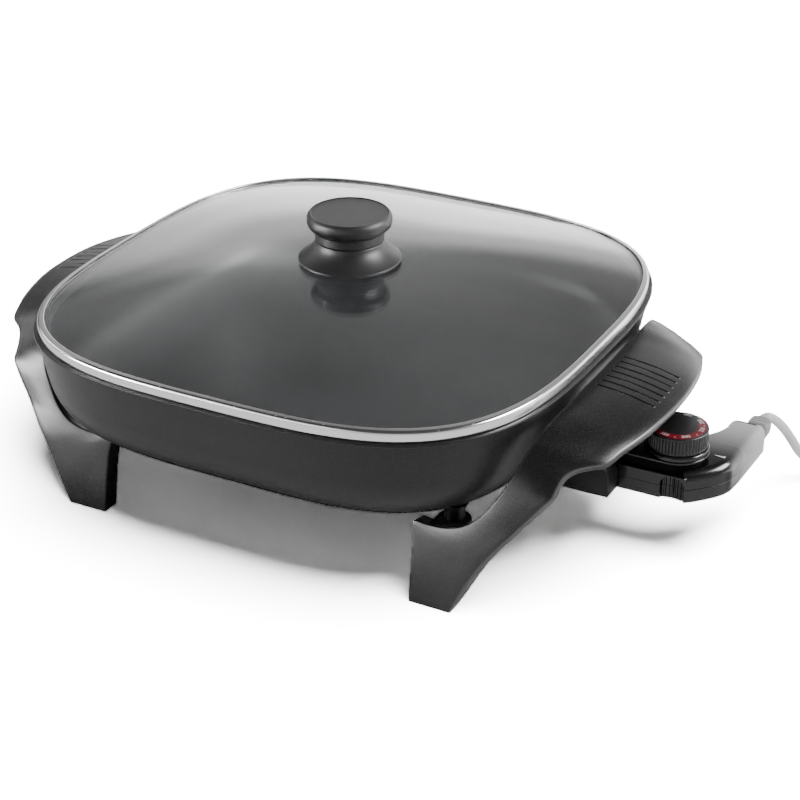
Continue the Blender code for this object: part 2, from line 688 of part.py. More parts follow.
def handle_section(rows, k):
    """A channel section: the outer skin, a flange turned in at each edge, and the underside."""
    inner, outer, inward, flange, _ = rows[k]
    across = (outer - inner).normalized()
    near = across * FLANGE_THICKNESS / slant([row[0] for row in rows], k, across)
    far = across * FLANGE_THICKNESS / slant([row[1] for row in rows], k, across)
    skin = [skin_point(rows[k], share) for share in SKIN_SHARES]
    under = [skin_point(rows[k], share) + inward * HANDLE_SKIN for share in UNDER_SHARES]
    return [
        inner + inward * flange,
        *skin,
        outer + inward * flange,
        outer + inward * flange - far,
        outer + inward * HANDLE_SKIN - far,
        *under,
        inner + inward * HANDLE_SKIN + near,
        inner + inward * flange + near,
    ]


def groove_blades(side):
    """Thin blades that follow the grip's skin and cut its row of grooves."""
    rows = rail_rows()
    middle = rows[len(rows) // 2]
    shares = np.linspace(GROOVE_START_SHARE, GROOVE_END_SHARE, ARC_STEPS + 1)
    blades = []
    for k in range(GROOVE_COUNT):
        y = (k - (GROOVE_COUNT - 1) / 2) * GROOVE_PITCH
        line = [skin_point(middle, share) for share in shares]
        low = [(side * p.x, p.z - GROOVE_DEPTH) for p in line]
        high = [(side * p.x, p.z + OVERRUN) for p in reversed(line)]
        blades.append(profile_across("blade", low + high, y - GROOVE_WIDTH / 2, y + GROOVE_WIDTH / 2))
    return joined("grip_grooves", blades)


def leg_tab(side, end):
    """The plate at a leg's top that the screw holds against the pan's boss."""
    outline = arc((BOSS_X, -BOSS_Y), TAB_RADIUS, 0, 180, 2 * ARC_STEPS)
    outline += [(BOSS_X - TAB_RADIUS, -TAB_ROOT_Y), (BOSS_X + TAB_RADIUS, -TAB_ROOT_Y)]
    placed = [(side * x, -end * y) for x, y in outline]
    return extruded("tab", placed, TAB_TOP_Z - TAB_THICKNESS, TAB_TOP_Z)


def make_handle(name, side, base, material):
    rows = rail_rows()
    sections = [[(side * p.x, p.y, p.z) for p in handle_section(rows, k)] for k in range(len(rows))]
    handle = place(name, skinned(name, sections), base, material, 30)
    tabs = joined(name + "_tabs", [leg_tab(side, end) for end in (-1, 1)])
    combine(handle, place(name + "_tabs", tabs, base), "UNION")
    hole = SCREW_RADIUS + CLEARANCE
    below = TAB_TOP_Z - TAB_THICKNESS - OVERRUN
    holes = [post("hole", side * BOSS_X, y, below, TAB_TOP_Z + OVERRUN, hole) for y in (-BOSS_Y, BOSS_Y)]
    combine(handle, place(name + "_holes", joined(name + "_holes", holes), base), "DIFFERENCE")
    combine(handle, place(name + "_grooves", groove_blades(side), base), "DIFFERENCE")


def screw_profile(length, head_height, head_radius, shank_radius):
    """A pan-head screw with its head down: from the shank's tip to the crown of the head."""
    return [
        (0, length),
        (shank_radius, length),
        (shank_radius, 0),
        (head_radius, 0),
        (head_radius, -head_height * CROWN_START_SHARE),
        (head_radius * CROWN_TOP_SHARE, -head_height * CROWN_END_SHARE),
        (0, -head_height),
    ]


def washer_profile(radius, bore, thickness):
    return [(radius, thickness), (radius, 0), (bore, 0), (bore, thickness)]


def make_fasteners(base, steel):
    washer_z = TAB_TOP_Z - TAB_THICKNESS - CLEARANCE - WASHER_THICKNESS
    head_z = washer_z - CLEARANCE
    hole = SCREW_RADIUS + CLEARANCE
    length = TAB_TOP_Z + SCREW_BITE - CLEARANCE - head_z
    for where, x, y in corners(BOSS_X, BOSS_Y):
        profile = washer_profile(WASHER_RADIUS, hole, WASHER_THICKNESS)
        turned("leg_washer_" + where, profile, base, steel, SMALL_FACETS, True, (x, y, washer_z))
        profile = screw_profile(length, SCREW_HEAD_HEIGHT, SCREW_HEAD_RADIUS, SCREW_RADIUS)
        turned("leg_screw_" + where, profile, base, steel, SMALL_FACETS, False, (x, y, head_z))
    head_z = GUARD_BOTTOM_Z - CLEARANCE
    length = GUARD_FOOT_THICKNESS + SCREW_BITE
    for end, y in (("front", -GUARD_FOOT_Y), ("back", GUARD_FOOT_Y)):
        profile = screw_profile(length, SCREW_HEAD_HEIGHT, SCREW_HEAD_RADIUS, SCREW_RADIUS)
        turned("guard_screw_" + end, profile, base, steel, SMALL_FACETS, False, (GUARD_FOOT_X, y, head_z))


def make_guard(base, material):
    """A hood with a rounded top edge, open below and at its inner end, with a doorway for the nose."""
    def hood(inset, inner_x, bottom_z):
        top = GUARD_TOP_Z - inset
        end = GUARD_END_X - inset
        radius = GUARD_ROUNDING - inset
        outline = [(inner_x, bottom_z), (end, bottom_z)]
        return outline + arc((end - radius, top - radius), radius, 0, 90, ARC_STEPS) + [(inner_x, top)]

    half = GUARD_HALF_WIDTH
    outer = profile_across("socket_guard", hood(0, GUARD_INNER_X, GUARD_BOTTOM_Z), -half, half)
    guard = place("socket_guard", outer, base, material, 35)
    inner_half = half - GUARD_WALL
    hollow = profile_across(
        "guard_hollow",
        hood(GUARD_WALL, GUARD_INNER_X - OVERRUN, GUARD_BOTTOM_Z - OVERRUN),
        -inner_half,
        inner_half,
    )
    combine(guard, place("guard_hollow", hollow, base), "DIFFERENCE")
    door = NOSE_HALF_WIDTH + 2 * CLEARANCE
    low = GUARD_BOTTOM_Z - OVERRUN
    high = GUARD_TOP_Z - GUARD_WALL - CLEARANCE
    far = GUARD_END_X + OVERRUN
    near = GUARD_END_X - GUARD_ROUNDING
    doorway = [(near, -door), (far, -door), (far, door), (near, door)]
    combine(guard, place("guard_doorway", extruded("guard_doorway", doorway, low, high), base), "DIFFERENCE")
    feet = []
    for end in (-1, 1):
        outline = arc((GUARD_FOOT_X, end * GUARD_FOOT_Y), GUARD_FOOT_RADIUS, 90, 270, 2 * ARC_STEPS)
        reach = GUARD_INNER_X + GUARD_FOOT_RADIUS
        outline += [(reach, end * GUARD_FOOT_Y + side * GUARD_FOOT_RADIUS) for side in (-1, 1)]
        feet.append(extruded("foot", outline, GUARD_BOTTOM_Z, GUARD_BOTTOM_Z + GUARD_FOOT_THICKNESS))
    combine(guard, place("guard_feet", joined("guard_feet", feet), base), "UNION")
    hole = SCREW_RADIUS + CLEARANCE
    top = GUARD_BOTTOM_Z + GUARD_FOOT_THICKNESS + OVERRUN
    holes = [post("hole", GUARD_FOOT_X, y, low, top, hole) for y in (-GUARD_FOOT_Y, GUARD_FOOT_Y)]
    combine(guard, place("guard_holes", joined("guard_holes", holes), base), "DIFFERENCE")


def band_bottom_z():
    return PAN_RIM_Z + LID_GAP


def glass_edge_top_z():
    return band_bottom_z() + BAND_HEIGHT - BAND_SHEET - CLEARANCE


def glass_top_z(share):
    """Height of the glass's upper face at a share of the way from the knob to the edge."""
    return glass_edge_top_z() + DOME_RISE * (1 - share**DOME_POWER)


def make_lid(lid, glass, steel):
    edge = LID_HALF - GLASS_EDGE_INSET
    screw_hole = KNOB_SCREW_RADIUS + 2 * CLEARANCE
    hole_squareness = 2

    def ring(share, z):
        bend = hole_squareness + (RIM_SQUARENESS - hole_squareness) * min(1, share * 2)
        return squared_ring(edge * share, bend, z)

    shares = (1.0, *GLASS_RING_SHARES, screw_hole / edge)
    rings = [ring(share, glass_top_z(share)) for share in shares]
    rings += [ring(share, glass_top_z(share) - GLASS_THICKNESS) for share in reversed(shares)]
    place("lid_glass", skinned("lid_glass", rings, closed=True), lid, glass, 40)

    low = band_bottom_z()
    high = low + BAND_HEIGHT
    inside = LID_HALF - BAND_SHEET
    top_inner = LID_HALF - BAND_FOLD
    skirt_outer = LID_HALF - SKIRT_INSET
    skirt_inner = skirt_outer - BAND_SHEET
    skirt_low = PAN_RIM_Z - LEDGE_DROP + CLEARANCE
    edge_round = BAND_SHEET / 2
    slot_low = glass_edge_top_z() - GLASS_THICKNESS - CLEARANCE
    lip_z = glass_top_z(top_inner / edge) + CLEARANCE
    section = [
        (LID_HALF, low + edge_round),
        (LID_HALF - edge_round, low),
        (skirt_outer, low),
        (skirt_outer, skirt_low),
        (skirt_inner, skirt_low),
        (skirt_inner, slot_low),
        (inside, slot_low),
        (inside, high - BAND_SHEET),
        (top_inner, lip_z),
        (top_inner, lip_z + BAND_SHEET / 2),
        (LID_HALF - BAND_SHEET, high),
        (LID_HALF, high - edge_round),
    ]
    rings = [squared_ring(half, RIM_SQUARENESS, z) for half, z in section]
    place("lid_band", skinned("lid_band", rings, closed=True), lid, steel, 30)


def make_knob(lid, phenolic, rubber, steel):
    seat = glass_top_z(0)
    bottom = seat + CLEARANCE
    gasket_z = seat + CLEARANCE
    boss_z = gasket_z + KNOB_GASKET_THICKNESS + CLEARANCE
    neck_z = bottom + KNOB_SKIRT_HEIGHT
    flare = [
        (KNOB_NECK_RADIUS + (KNOB_SKIRT_RADIUS - KNOB_NECK_RADIUS) * share**1.9, neck_z - drop)
        for share, drop in (
            (k / 6, (neck_z - bottom - KNOB_SKIRT_EDGE) * k / 6) for k in range(7)
        )
    ]
    hole = KNOB_SCREW_RADIUS + CLEARANCE
    rim_inner = KNOB_SKIRT_RADIUS - KNOB_WALL
    roof = neck_z - KNOB_WALL
    base_profile = flare + [
        (KNOB_SKIRT_RADIUS, bottom),
        (rim_inner, bottom),
        (rim_inner, bottom + KNOB_SKIRT_EDGE),
        (KNOB_NECK_RADIUS - KNOB_WALL, roof),
        (KNOB_BOSS_RADIUS, roof),
        (KNOB_BOSS_RADIUS, boss_z),
        (hole, boss_z),
        (hole, neck_z),
    ]
    turned("knob_base", base_profile, lid, phenolic, RING_FACETS // 2, True)

    cap_z = neck_z + CLEARANCE
    top = cap_z + KNOB_CAP_HEIGHT
    swell = KNOB_CAP_RADIUS - KNOB_NECK_RADIUS
    bite = cap_z + KNOB_SCREW_BITE + CLEARANCE
    under = [
        (KNOB_NECK_RADIUS + swell * math.sin(math.pi / 2 * share) ** 1.5, cap_z + KNOB_CAP_HEIGHT * rise)
        for share, rise in KNOB_UNDER_SHARES
    ]
    cap_profile = [
        (0, top - KNOB_DISH),
        (KNOB_TOP_RADIUS * KNOB_DISH_SHARE, top - KNOB_DISH),
        (KNOB_TOP_RADIUS, top),
        *[(KNOB_CAP_RADIUS * share, top - KNOB_CAP_HEIGHT * drop) for share, drop in KNOB_EDGE_SHARES],
        *under,
        (hole, cap_z),
        (hole, bite),
        (0, bite),
    ]
    turned("knob_cap", cap_profile, lid, phenolic, RING_FACETS // 2)
    turned(
        "knob_gasket",
        washer_profile(KNOB_GASKET_RADIUS, hole + CLEARANCE, KNOB_GASKET_THICKNESS),
        lid,
        rubber,
        SMALL_FACETS,
        True,
        (0, 0, gasket_z),
    )
    washer_z = seat - GLASS_THICKNESS - CLEARANCE - KNOB_GASKET_THICKNESS
    turned(
        "knob_washer",
        washer_profile(KNOB_WASHER_RADIUS, hole, KNOB_GASKET_THICKNESS),
        lid,
        steel,
        SMALL_FACETS,
        True,
        (0, 0, washer_z),
    )
    head_z = washer_z - CLEARANCE
    length = cap_z + KNOB_SCREW_BITE - head_z
    profile = screw_profile(length, KNOB_SCREW_HEAD_HEIGHT, KNOB_SCREW_HEAD_RADIUS, KNOB_SCREW_RADIUS)
    turned("knob_screw", profile, lid, steel, SMALL_FACETS, False, (0, 0, head_z))


def inset_outline(points, distance):
    """A counterclockwise outline moved inwards by this distance, with mitred corners."""
    moved = []
    for before, point, after in zip(points[-1:] + points[:-1], points, points[1:] + points[:1]):
        first = (Vector(point) - Vector(before)).normalized()
        second = (Vector(after) - Vector(point)).normalized()
        normal = Vector((-first.y - second.y, first.x + second.x)).normalized()
        reach = distance / (normal.x * -first.y + normal.y * first.x)
        moved.append(tuple(Vector(point) + normal * reach))
    return moved


def arm_outline():
    """The outer side of the elbow and arm, the arm's end and its inner side, counterclockwise."""
    half = NOSE_HALF_WIDTH
    end_y = ARM_END_Y
    corner = ARM_CORNER
    return [
        *bent((ELBOW_X, -half), (ELBOW_PULL_X, ELBOW_PULL_Y), (ARM_OUTER_X, ARM_OUTER_Y), 2 * ARC_STEPS),
        *arc((ARM_FAR_X - corner, end_y - corner), corner, 0, 90, 3),
        *arc((ARM_NEAR_X + corner, end_y - corner), corner, 90, 160, 3),
        *bent(
            (ARM_NEAR_X - corner * ARM_BACK_SHARE, end_y - 2 * corner),
            (ARM_INNER_PULL_X, ARM_INNER_PULL_Y),
            (NOSE_BACK_X, half),
            ARC_STEPS,
        ),
    ]


def probe_outline():
    """Plan of the whole probe."""
    half = NOSE_HALF_WIDTH
    return [(NOSE_TIP_X, -half), (SCOOP_X, -half), *arm_outline(), (NOSE_TIP_X, half)]


def rounded_body():
    """The raised body, with its top edge rounded except where it meets the nose."""
    outline = arm_outline()
    rings = [[(x, y, PROBE_PARTING_Z + 2 * CLEARANCE) for x, y in outline]]
    across = (Vector(outline[-1]) - Vector(outline[0])).normalized()
    for k in range(ARC_STEPS + 1):
        angle = math.pi / 2 * k / ARC_STEPS
        inset = PROBE_ROUNDING * (1 - math.cos(angle))
        z = PROBE_TOP_Z - PROBE_ROUNDING * (1 - math.sin(angle))
        drawn_in = inset_outline(outline, inset)
        for end, toward in ((0, across), (-1, -across)):
            along = (Vector(outline[1 if end == 0 else -2]) - Vector(outline[end])).normalized()
            drawn_in[end] = tuple(Vector(outline[end]) + toward * inset / abs(across.cross(along)))
        rings.append([(x, y, z) for x, y in drawn_in])
    return skinned("probe_body", rings)


def arm_rise(y):
    """How far the arm's underside has risen above the nose's."""
    return ARM_UNDERSIDE_RISE * (y - NOSE_HALF_WIDTH) / (ARM_END_Y - NOSE_HALF_WIDTH)


def arm_wedge(lift):
    """What lies under the arm's rising underside, raised by this much."""
    base_z = PROBE_BOTTOM_Z + lift
    near = NOSE_HALF_WIDTH - OVERRUN
    far = ARM_END_Y + OVERRUN
    low = PROBE_BOTTOM_Z - 2 * OVERRUN
    profile = [(near, low), (far, low), (far, base_z + arm_rise(far)), (near, base_z + arm_rise(near))]
    ends = (NOSE_BACK_X, ARM_FAR_X + OVERRUN)
    return skinned("arm_wedge", [[(x, y, z) for y, z in profile] for x in ends])


def scoop_cutter():
    """The finger scoop in the nose's front side, with upright ribs."""
    centre_y = -NOSE_HALF_WIDTH - SCOOP_RADIUS + SCOOP_DEPTH
    outline = []
    for k in range(SCOOP_STEPS + 1):
        angle = math.pi * k / SCOOP_STEPS
        radius = SCOOP_RADIUS - SCOOP_RIB * (k % 2)
        outline.append((SCOOP_X + radius * math.cos(angle), centre_y + radius * math.sin(angle)))
    outline += [(SCOOP_X + side * SCOOP_RADIUS, centre_y - SCOOP_RADIUS) for side in (-1, 1)]
    return extruded("scoop", outline, PROBE_BOTTOM_Z - OVERRUN, DECK_TOP_Z + CLEARANCE)


def scoop_backing():
    """The thickened wall behind the scoop, kept out of the pockets."""
    reach = SCOOP_RADIUS + PROBE_WALL
    outline = box_outline(SCOOP_X - reach, -NOSE_HALF_WIDTH, 2 * reach, SCOOP_DEPTH + PROBE_WALL)
    return extruded("backing", outline, PROBE_BOTTOM_Z - OVERRUN, PROBE_TOP_Z)


def pocket_in(piece, name, outline, bottom_z, top_z, probe):
    pocket = place(name, extruded(name, inset_outline(outline, PROBE_WALL), bottom_z, top_z), probe)
    combine(pocket, place(name + "_backing", scoop_backing(), probe), "DIFFERENCE")
    combine(piece, pocket, "DIFFERENCE")
    return pocket


def make_probe_housing(probe, material, steel):
    outline = probe_outline()
    mesh = extruded("probe_lower", outline, PROBE_BOTTOM_Z, PROBE_PARTING_Z)
    lower = place("probe_lower", mesh, probe, material, 35)
    floor_z = PROBE_BOTTOM_Z + PROBE_FLOOR
    pocket = pocket_in(lower, "lower_pocket", outline, floor_z, PROBE_PARTING_Z + OVERRUN, probe)
    combine(pocket, place("pocket_wedge", arm_wedge(PROBE_FLOOR), probe), "DIFFERENCE")
    combine(lower, place("arm_wedge", arm_wedge(0), probe), "DIFFERENCE")
    bottom = PROBE_PARTING_Z + CLEARANCE
    deck = inset_outline(outline, DECK_CHAMFER)
    rings = [(outline, bottom), (outline, DECK_TOP_Z - DECK_CHAMFER), (deck, DECK_TOP_Z)]
    mesh = skinned("probe_upper", [[(x, y, z) for x, y in ring] for ring, z in rings])
    upper = place("probe_upper", mesh, probe, material, 35)
    scoop = place("finger_scoop", scoop_cutter(), probe)
    combine(upper, scoop, "DIFFERENCE")
    combine(lower, scoop, "DIFFERENCE")

    combine(upper, place("probe_body_block", rounded_body(), probe), "UNION")
    low = DECK_TOP_Z - DECK_CHAMFER
    neck = PLATFORM_HALF_WIDTH - PLATFORM_NECK
    for name, half, low, high in (
        ("platform_neck", neck, low, PLATFORM_TOP_Z - CLEARANCE),
        ("platform", PLATFORM_HALF_WIDTH, PLATFORM_TOP_Z - PLATFORM_THICKNESS, PLATFORM_TOP_Z),
    ):
        rim = arc((DIAL_X, 0), half, -90, 90, 4 * ARC_STEPS)
        plan = [(PLATFORM_START_X, -half), *rim, (PLATFORM_START_X, half)]
        combine(upper, place(name, extruded(name, plan, low, high), probe), "UNION")
    pocket_in(upper, "nose_pocket", outline, bottom - OVERRUN, DECK_TOP_Z - PROBE_FLOOR - CLEARANCE, probe)
    pocket_in(upper, "body_pocket", arm_outline(), bottom - OVERRUN, PROBE_TOP_Z - PROBE_WALL, probe)
    high = PLATFORM_TOP_Z + OVERRUN
    hole = post("shaft_hole", DIAL_X, 0, PROBE_PARTING_Z, high, DIAL_SHAFT_RADIUS + CLEARANCE)
    combine(upper, place("shaft_hole", hole, probe), "DIFFERENCE")

    before = NOSE_TIP_X - OVERRUN
    past = NOSE_TIP_X + PROBE_WALL + OVERRUN
    radii = ((-PIN_SPREAD, CONTACT_BORE), (0, STEM_RADIUS), (PIN_SPREAD, CONTACT_BORE))
    bores = [rod_along_x("bore", before, past, y, PIN_Z, radius + CLEARANCE) for y, radius in radii]
    bores = place("nose_bores", joined("nose_bores", bores), probe)
    combine(upper, bores, "DIFFERENCE")
    combine(lower, bores, "DIFFERENCE")
    make_housing_screws(probe, upper, lower, steel)


def make_housing_screws(probe, upper, lower, steel):
    """Two posts inside the upper half, and a screw up into each through the lower half."""
    shank = HOUSING_SCREW_RADIUS
    roofs = (DECK_TOP_Z - DECK_CHAMFER, PROBE_TOP_Z - PROBE_WALL / 2)
    for name, (x, y), roof in zip(("nose", "arm"), HOUSING_SCREWS, roofs):
        outside = PROBE_BOTTOM_Z + max(arm_rise(y), 0)
        seat = outside + PROBE_FLOOR + 2 * CLEARANCE
        pillar = post("post_" + name, x, y, seat, roof, HOUSING_POST_RADIUS)
        combine(upper, place("post_" + name, pillar, probe), "UNION")
        tip = seat + HOUSING_BITE
        bore = post("post_bore_" + name, x, y, outside - OVERRUN, tip + CLEARANCE, shank + CLEARANCE)
        bore = place("post_bore_" + name, bore, probe)
        combine(upper, bore, "DIFFERENCE")
        combine(lower, bore, "DIFFERENCE")
        lowest = PROBE_BOTTOM_Z + max(arm_rise(y - HOUSING_HEAD_RADIUS), 0)
        head_z = lowest - CLEARANCE
        profile = screw_profile(tip - head_z, HOUSING_HEAD_HEIGHT, HOUSING_HEAD_RADIUS, shank)
        turned("housing_screw_" + name, profile, probe, steel, SMALL_FACETS, False, (x, y, head_z))


def make_probe_inside(probe, steel, brass):
    stem = rod_along_x("sensor_stem", STEM_TIP_X, STEM_END_X, 0, PIN_Z, STEM_RADIUS)
    place("sensor_stem", stem, probe, steel, 50)
    start = NOSE_TIP_X + PROBE_WALL + CLEARANCE
    for end, y in (("front", -PIN_SPREAD), ("back", PIN_SPREAD)):
        tube_end = start + CONTACT_LENGTH
        tube = tube_along_x("contact_" + end, start, tube_end, y, PIN_Z, CONTACT_RADIUS, CONTACT_BORE)
        place("contact_" + end, tube, probe, brass, 50)
    floor_z = PROBE_BOTTOM_Z + PROBE_FLOOR + CLEARANCE
    wide = FRAME_HALF_WIDTH
    thin = FRAME_SHEET
    high = floor_z + FRAME_HEIGHT
    section = [
        (-wide, floor_z),
        (wide, floor_z),
        (wide, high),
        (wide - thin, high),
        (wide - thin, floor_z + thin),
        (thin - wide, floor_z + thin),
        (thin - wide, high),
        (-wide, high),
    ]
    ends = (FRAME_START_X, FRAME_START_X + FRAME_LENGTH)
    frame = skinned("thermostat_frame", [[(x, y, z) for y, z in section] for x in ends])
    place("thermostat_frame", frame, probe, steel)
    outline = box_outline(start + CONTACT_LENGTH + CLEARANCE, LEAF_Y, LEAF_LENGTH, LEAF_THICKNESS)
    place("contact_leaf", extruded("contact_leaf", outline, floor_z, floor_z + LEAF_HEIGHT), probe, brass)


def make_dial(probe, dial, black, face, steel):
    """The dial's pieces are placed from its own pivot, which is on the dial's axis at the platform's top."""
    bezel = [
        (BEZEL_RADIUS - DIAL_CHAMFER, BEZEL_HEIGHT),
        (BEZEL_RADIUS, BEZEL_HEIGHT / 2),
        (BEZEL_RADIUS, CLEARANCE),
        (DIAL_SHAFT_RADIUS + CLEARANCE, CLEARANCE),
        (DIAL_SHAFT_RADIUS + CLEARANCE, BEZEL_HEIGHT),
    ]
    seat = (DIAL_X, 0, PLATFORM_TOP_Z)
    turned("dial_bezel", bezel, probe, black, ROUND_FACETS, True, seat)
    bottom = BEZEL_HEIGHT + CLEARANCE
    top = DIAL_TOP_Z - PLATFORM_TOP_Z
    count = 2 * DIAL_RIB_COUNT
    turns = [2 * math.pi * k / count for k in range(count)]

    def ribbed(radius, z):
        reach = [radius - DIAL_RIB_DEPTH * (k % 2) for k in range(count)]
        return [(r * math.cos(a), r * math.sin(a), z) for r, a in zip(reach, turns)]

    rings = [
        ribbed(DIAL_RADIUS, bottom),
        ribbed(DIAL_RADIUS, top - DIAL_CHAMFER),
        ribbed(DIAL_RADIUS - DIAL_CHAMFER, top),
    ]
    knob = place("dial_knob", skinned("dial_knob", rings), dial, black)
    socket = post("socket", 0, 0, bottom - OVERRUN, bottom + DIAL_SOCKET_DEPTH, DIAL_SHAFT_RADIUS + CLEARANCE)
    combine(knob, place("dial_socket", socket, dial), "DIFFERENCE")
    disc = [
        (0, DIAL_FACE_THICKNESS),
        (DIAL_FACE_RADIUS, DIAL_FACE_THICKNESS),
        (DIAL_FACE_RADIUS, 0),
        (0, 0),
    ]
    turned("dial_face", disc, dial, face, ROUND_FACETS, False, (0, 0, top + CLEARANCE))
    shaft_bottom = DIAL_SHAFT_BOTTOM_Z - PLATFORM_TOP_Z
    shaft_top = bottom + DIAL_SOCKET_DEPTH - CLEARANCE
    radius = DIAL_SHAFT_RADIUS
    shaft = [(0, shaft_top), (radius, shaft_top), (radius, shaft_bottom), (0, shaft_bottom)]
    turned("dial_shaft", shaft, dial, steel, SMALL_FACETS)


def rounded_section(x, y, z, width, height, squareness):
    """Points of a rounded rectangle across Y."""
    turns = [2 * math.pi * (k + 0.5) / RELIEF_FACETS for k in range(RELIEF_FACETS)]

    def reach(a):
        return (abs(math.cos(a)) ** squareness + abs(math.sin(a)) ** squareness) ** (-1 / squareness)

    return [
        (x + width / 2 * reach(a) * math.cos(a), y, z + height / 2 * reach(a) * math.sin(a)) for a in turns
    ]


def make_strain_relief(probe, rubber):
    """A ribbed block at the arm's end that tapers to the cord."""
    start = ARM_END_Y + CLEARANCE
    pitch = RELIEF_BLOCK_LENGTH / RELIEF_RIBS
    rings = []
    for k in range(RELIEF_RIBS):
        for share, depth in RELIEF_RIB_SHARES:
            width = RELIEF_WIDTH - 2 * RELIEF_RIB_DEPTH * depth
            height = RELIEF_HEIGHT - 2 * RELIEF_RIB_DEPTH * depth
            rings.append(rounded_section(RELIEF_X, start + pitch * (k + share), RELIEF_Z, width, height, 4))
    end = start + RELIEF_BLOCK_LENGTH
    neck = 2 * RELIEF_END_RADIUS
    wide, tall = (neck * share for share in RELIEF_NECK_SHARES)
    rings.append(rounded_section(RELIEF_X, end, RELIEF_Z, wide, tall, 3))
    rings.append(rounded_section(RELIEF_X, end + RELIEF_TAPER_LENGTH, RELIEF_Z, neck, neck, 2))
    place("strain_relief", skinned("strain_relief", rings), probe, rubber, 40)


def smooth_route(points, count):
    """Evenly spaced points on a Catmull-Rom curve through the given ones."""
    p = np.array(points)
    p = np.vstack([2 * p[0] - p[1], p, 2 * p[-1] - p[-2]])
    share = np.linspace(0, 1, 12, endpoint=False)[:, None]
    pieces = []
    for a, b, c, d in zip(p, p[1:], p[2:], p[3:]):
        bend = (2 * a - 5 * b + 4 * c - d) * share**2 + (3 * b - a - 3 * c + d) * share**3
        pieces.append(b + ((c - a) * share + bend) / 2)
    dense = np.vstack([*pieces, p[-2]])
    run = np.concatenate([[0], np.cumsum(np.linalg.norm(np.diff(dense, axis=0), axis=1))])
    even = np.linspace(0, run[-1], count)
    return np.stack([np.interp(even, run, dense[:, i]) for i in range(3)], 1)


def coil_route():
    """Two layers of loops: inwards on the floor, up in the half turn where it reverses, and out again."""
    steps = COIL_LOOP_POINTS
    loops = 2 * COIL_LOOPS_A_LAYER + 0.5
    turn = np.arange(int(loops * steps) + 1) / steps
    reversal = COIL_LOOPS_A_LAYER + 0.25
    inward = np.clip(turn, 0, reversal)
    outward = np.clip(turn - reversal, 0, reversal)
    radius = COIL_OUTER_RADIUS - COIL_PITCH * (inward - outward)
    climb = np.clip((turn - COIL_LOOPS_A_LAYER) * 2, 0, 1)
    climb = climb * climb * (3 - 2 * climb)
    height = CORD_ROUTE[-1][2] + COIL_PITCH * climb
    start = math.atan2(CORD_ROUTE[-1][1] - COIL_Y, CORD_ROUTE[-1][0] - COIL_X)
    angle = start - 2 * math.pi * turn
    return np.stack([COIL_X + radius * np.cos(angle), COIL_Y + radius * np.sin(angle), height], 1)


def least_gap(points, skip):
    """Least clear distance between stretches of the coil that aren't neighbours along it."""
    spread = np.linalg.norm(points[:, None] - points[None], axis=2)
    apart = np.abs(np.arange(len(points))[:, None] - np.arange(len(points))[None])
    return spread[apart > skip].min() - CORD_DIAMETER


def cord_piece(name, points, parent, material, resolution):
    curve = bpy.data.curves.new(name, "CURVE")
    curve.dimensions = "3D"
    curve.bevel_depth = CORD_DIAMETER / 2
    curve.bevel_resolution = resolution
    curve.use_fill_caps = True
    spline = curve.splines.new("POLY")
    spline.points.add(len(points) - 1)
    for knot, point in zip(spline.points, points):
        knot.co = (*point, 1)
    curve.materials.append(material)
    piece = bpy.data.objects.new(name, curve)
    bpy.context.scene.collection.objects.link(piece)
    piece.parent = parent
    return piece


def make_cord(probe, rubber, brass):
    free = smooth_route(CORD_ROUTE, CORD_POINTS)
    coil = coil_route()
    arrive = coil[0] - coil[1]
    arrive /= np.linalg.norm(arrive)
    coil = np.vstack([coil[0] + arrive * CORD_DIAMETER, coil])
    free = np.vstack([free[:-3], coil[0] + arrive * CORD_DIAMETER, coil[0] + arrive * CLEARANCE])
    leave = coil[-1] - coil[-2]
    leave[2] = 0
    leave /= np.linalg.norm(leave)
    coil = np.vstack([coil, coil[-1] + leave * 2 * CORD_DIAMETER])
    cord_piece("power_cord", free, probe, rubber, 2)
    cord_piece("cord_coil", coil, probe, rubber, 1)
    print(f"cord_coil: least gap to itself {1000 * least_gap(coil, COIL_LOOP_POINTS // 3):.2f} mm")
    length = sum(np.linalg.norm(np.diff(points, axis=0), axis=1).sum() for points in (free, coil))
    print(f"cord: {length:.3f} m")

    heading = math.atan2(leave[1], leave[0])
    root = coil[-1] + leave * CLEARANCE
    plug = pivot("plug", root, probe)
    plug.rotation_euler = (0, 0, heading)
    neck = CORD_DIAMETER / 2 + PLUG_NECK_WALL

    def section(x, half_width, half_height, squareness):
        flat = rounded_section(0, x, 0, 2 * half_width, 2 * half_height, squareness)
        return [(along, across, up) for across, along, up in flat]

    wide = PLUG_WIDTH / 2
    tall = PLUG_HEIGHT / 2
    face = PLUG_NECK_LENGTH + PLUG_LENGTH
    neck_run, neck_wide, neck_tall = PLUG_NECK_SHARES
    rings = [
        section(0, neck, neck, 2),
        section(PLUG_NECK_LENGTH * neck_run, neck * neck_wide, neck * neck_tall, 2),
    ]
    for run, across, up, squareness in PLUG_BODY_SHARES:
        rings.append(section(PLUG_NECK_LENGTH + PLUG_LENGTH * run, wide * across, tall * up, squareness))
    place("plug_body", skinned("plug_body", rings), plug, rubber, 40)
    for side, y in (("left", BLADE_SPREAD / 2), ("right", -BLADE_SPREAD / 2)):
        outline = [
            (face + CLEARANCE, y - BLADE_THICKNESS / 2),
            (face + BLADE_LENGTH, y - BLADE_THICKNESS / 2),
            (face + BLADE_LENGTH, y + BLADE_THICKNESS / 2),
            (face + CLEARANCE, y + BLADE_THICKNESS / 2),
        ]
        blade = extruded("plug_blade_" + side, outline, -BLADE_WIDTH / 2, BLADE_WIDTH / 2)
        place("plug_blade_" + side, blade, plug, brass)


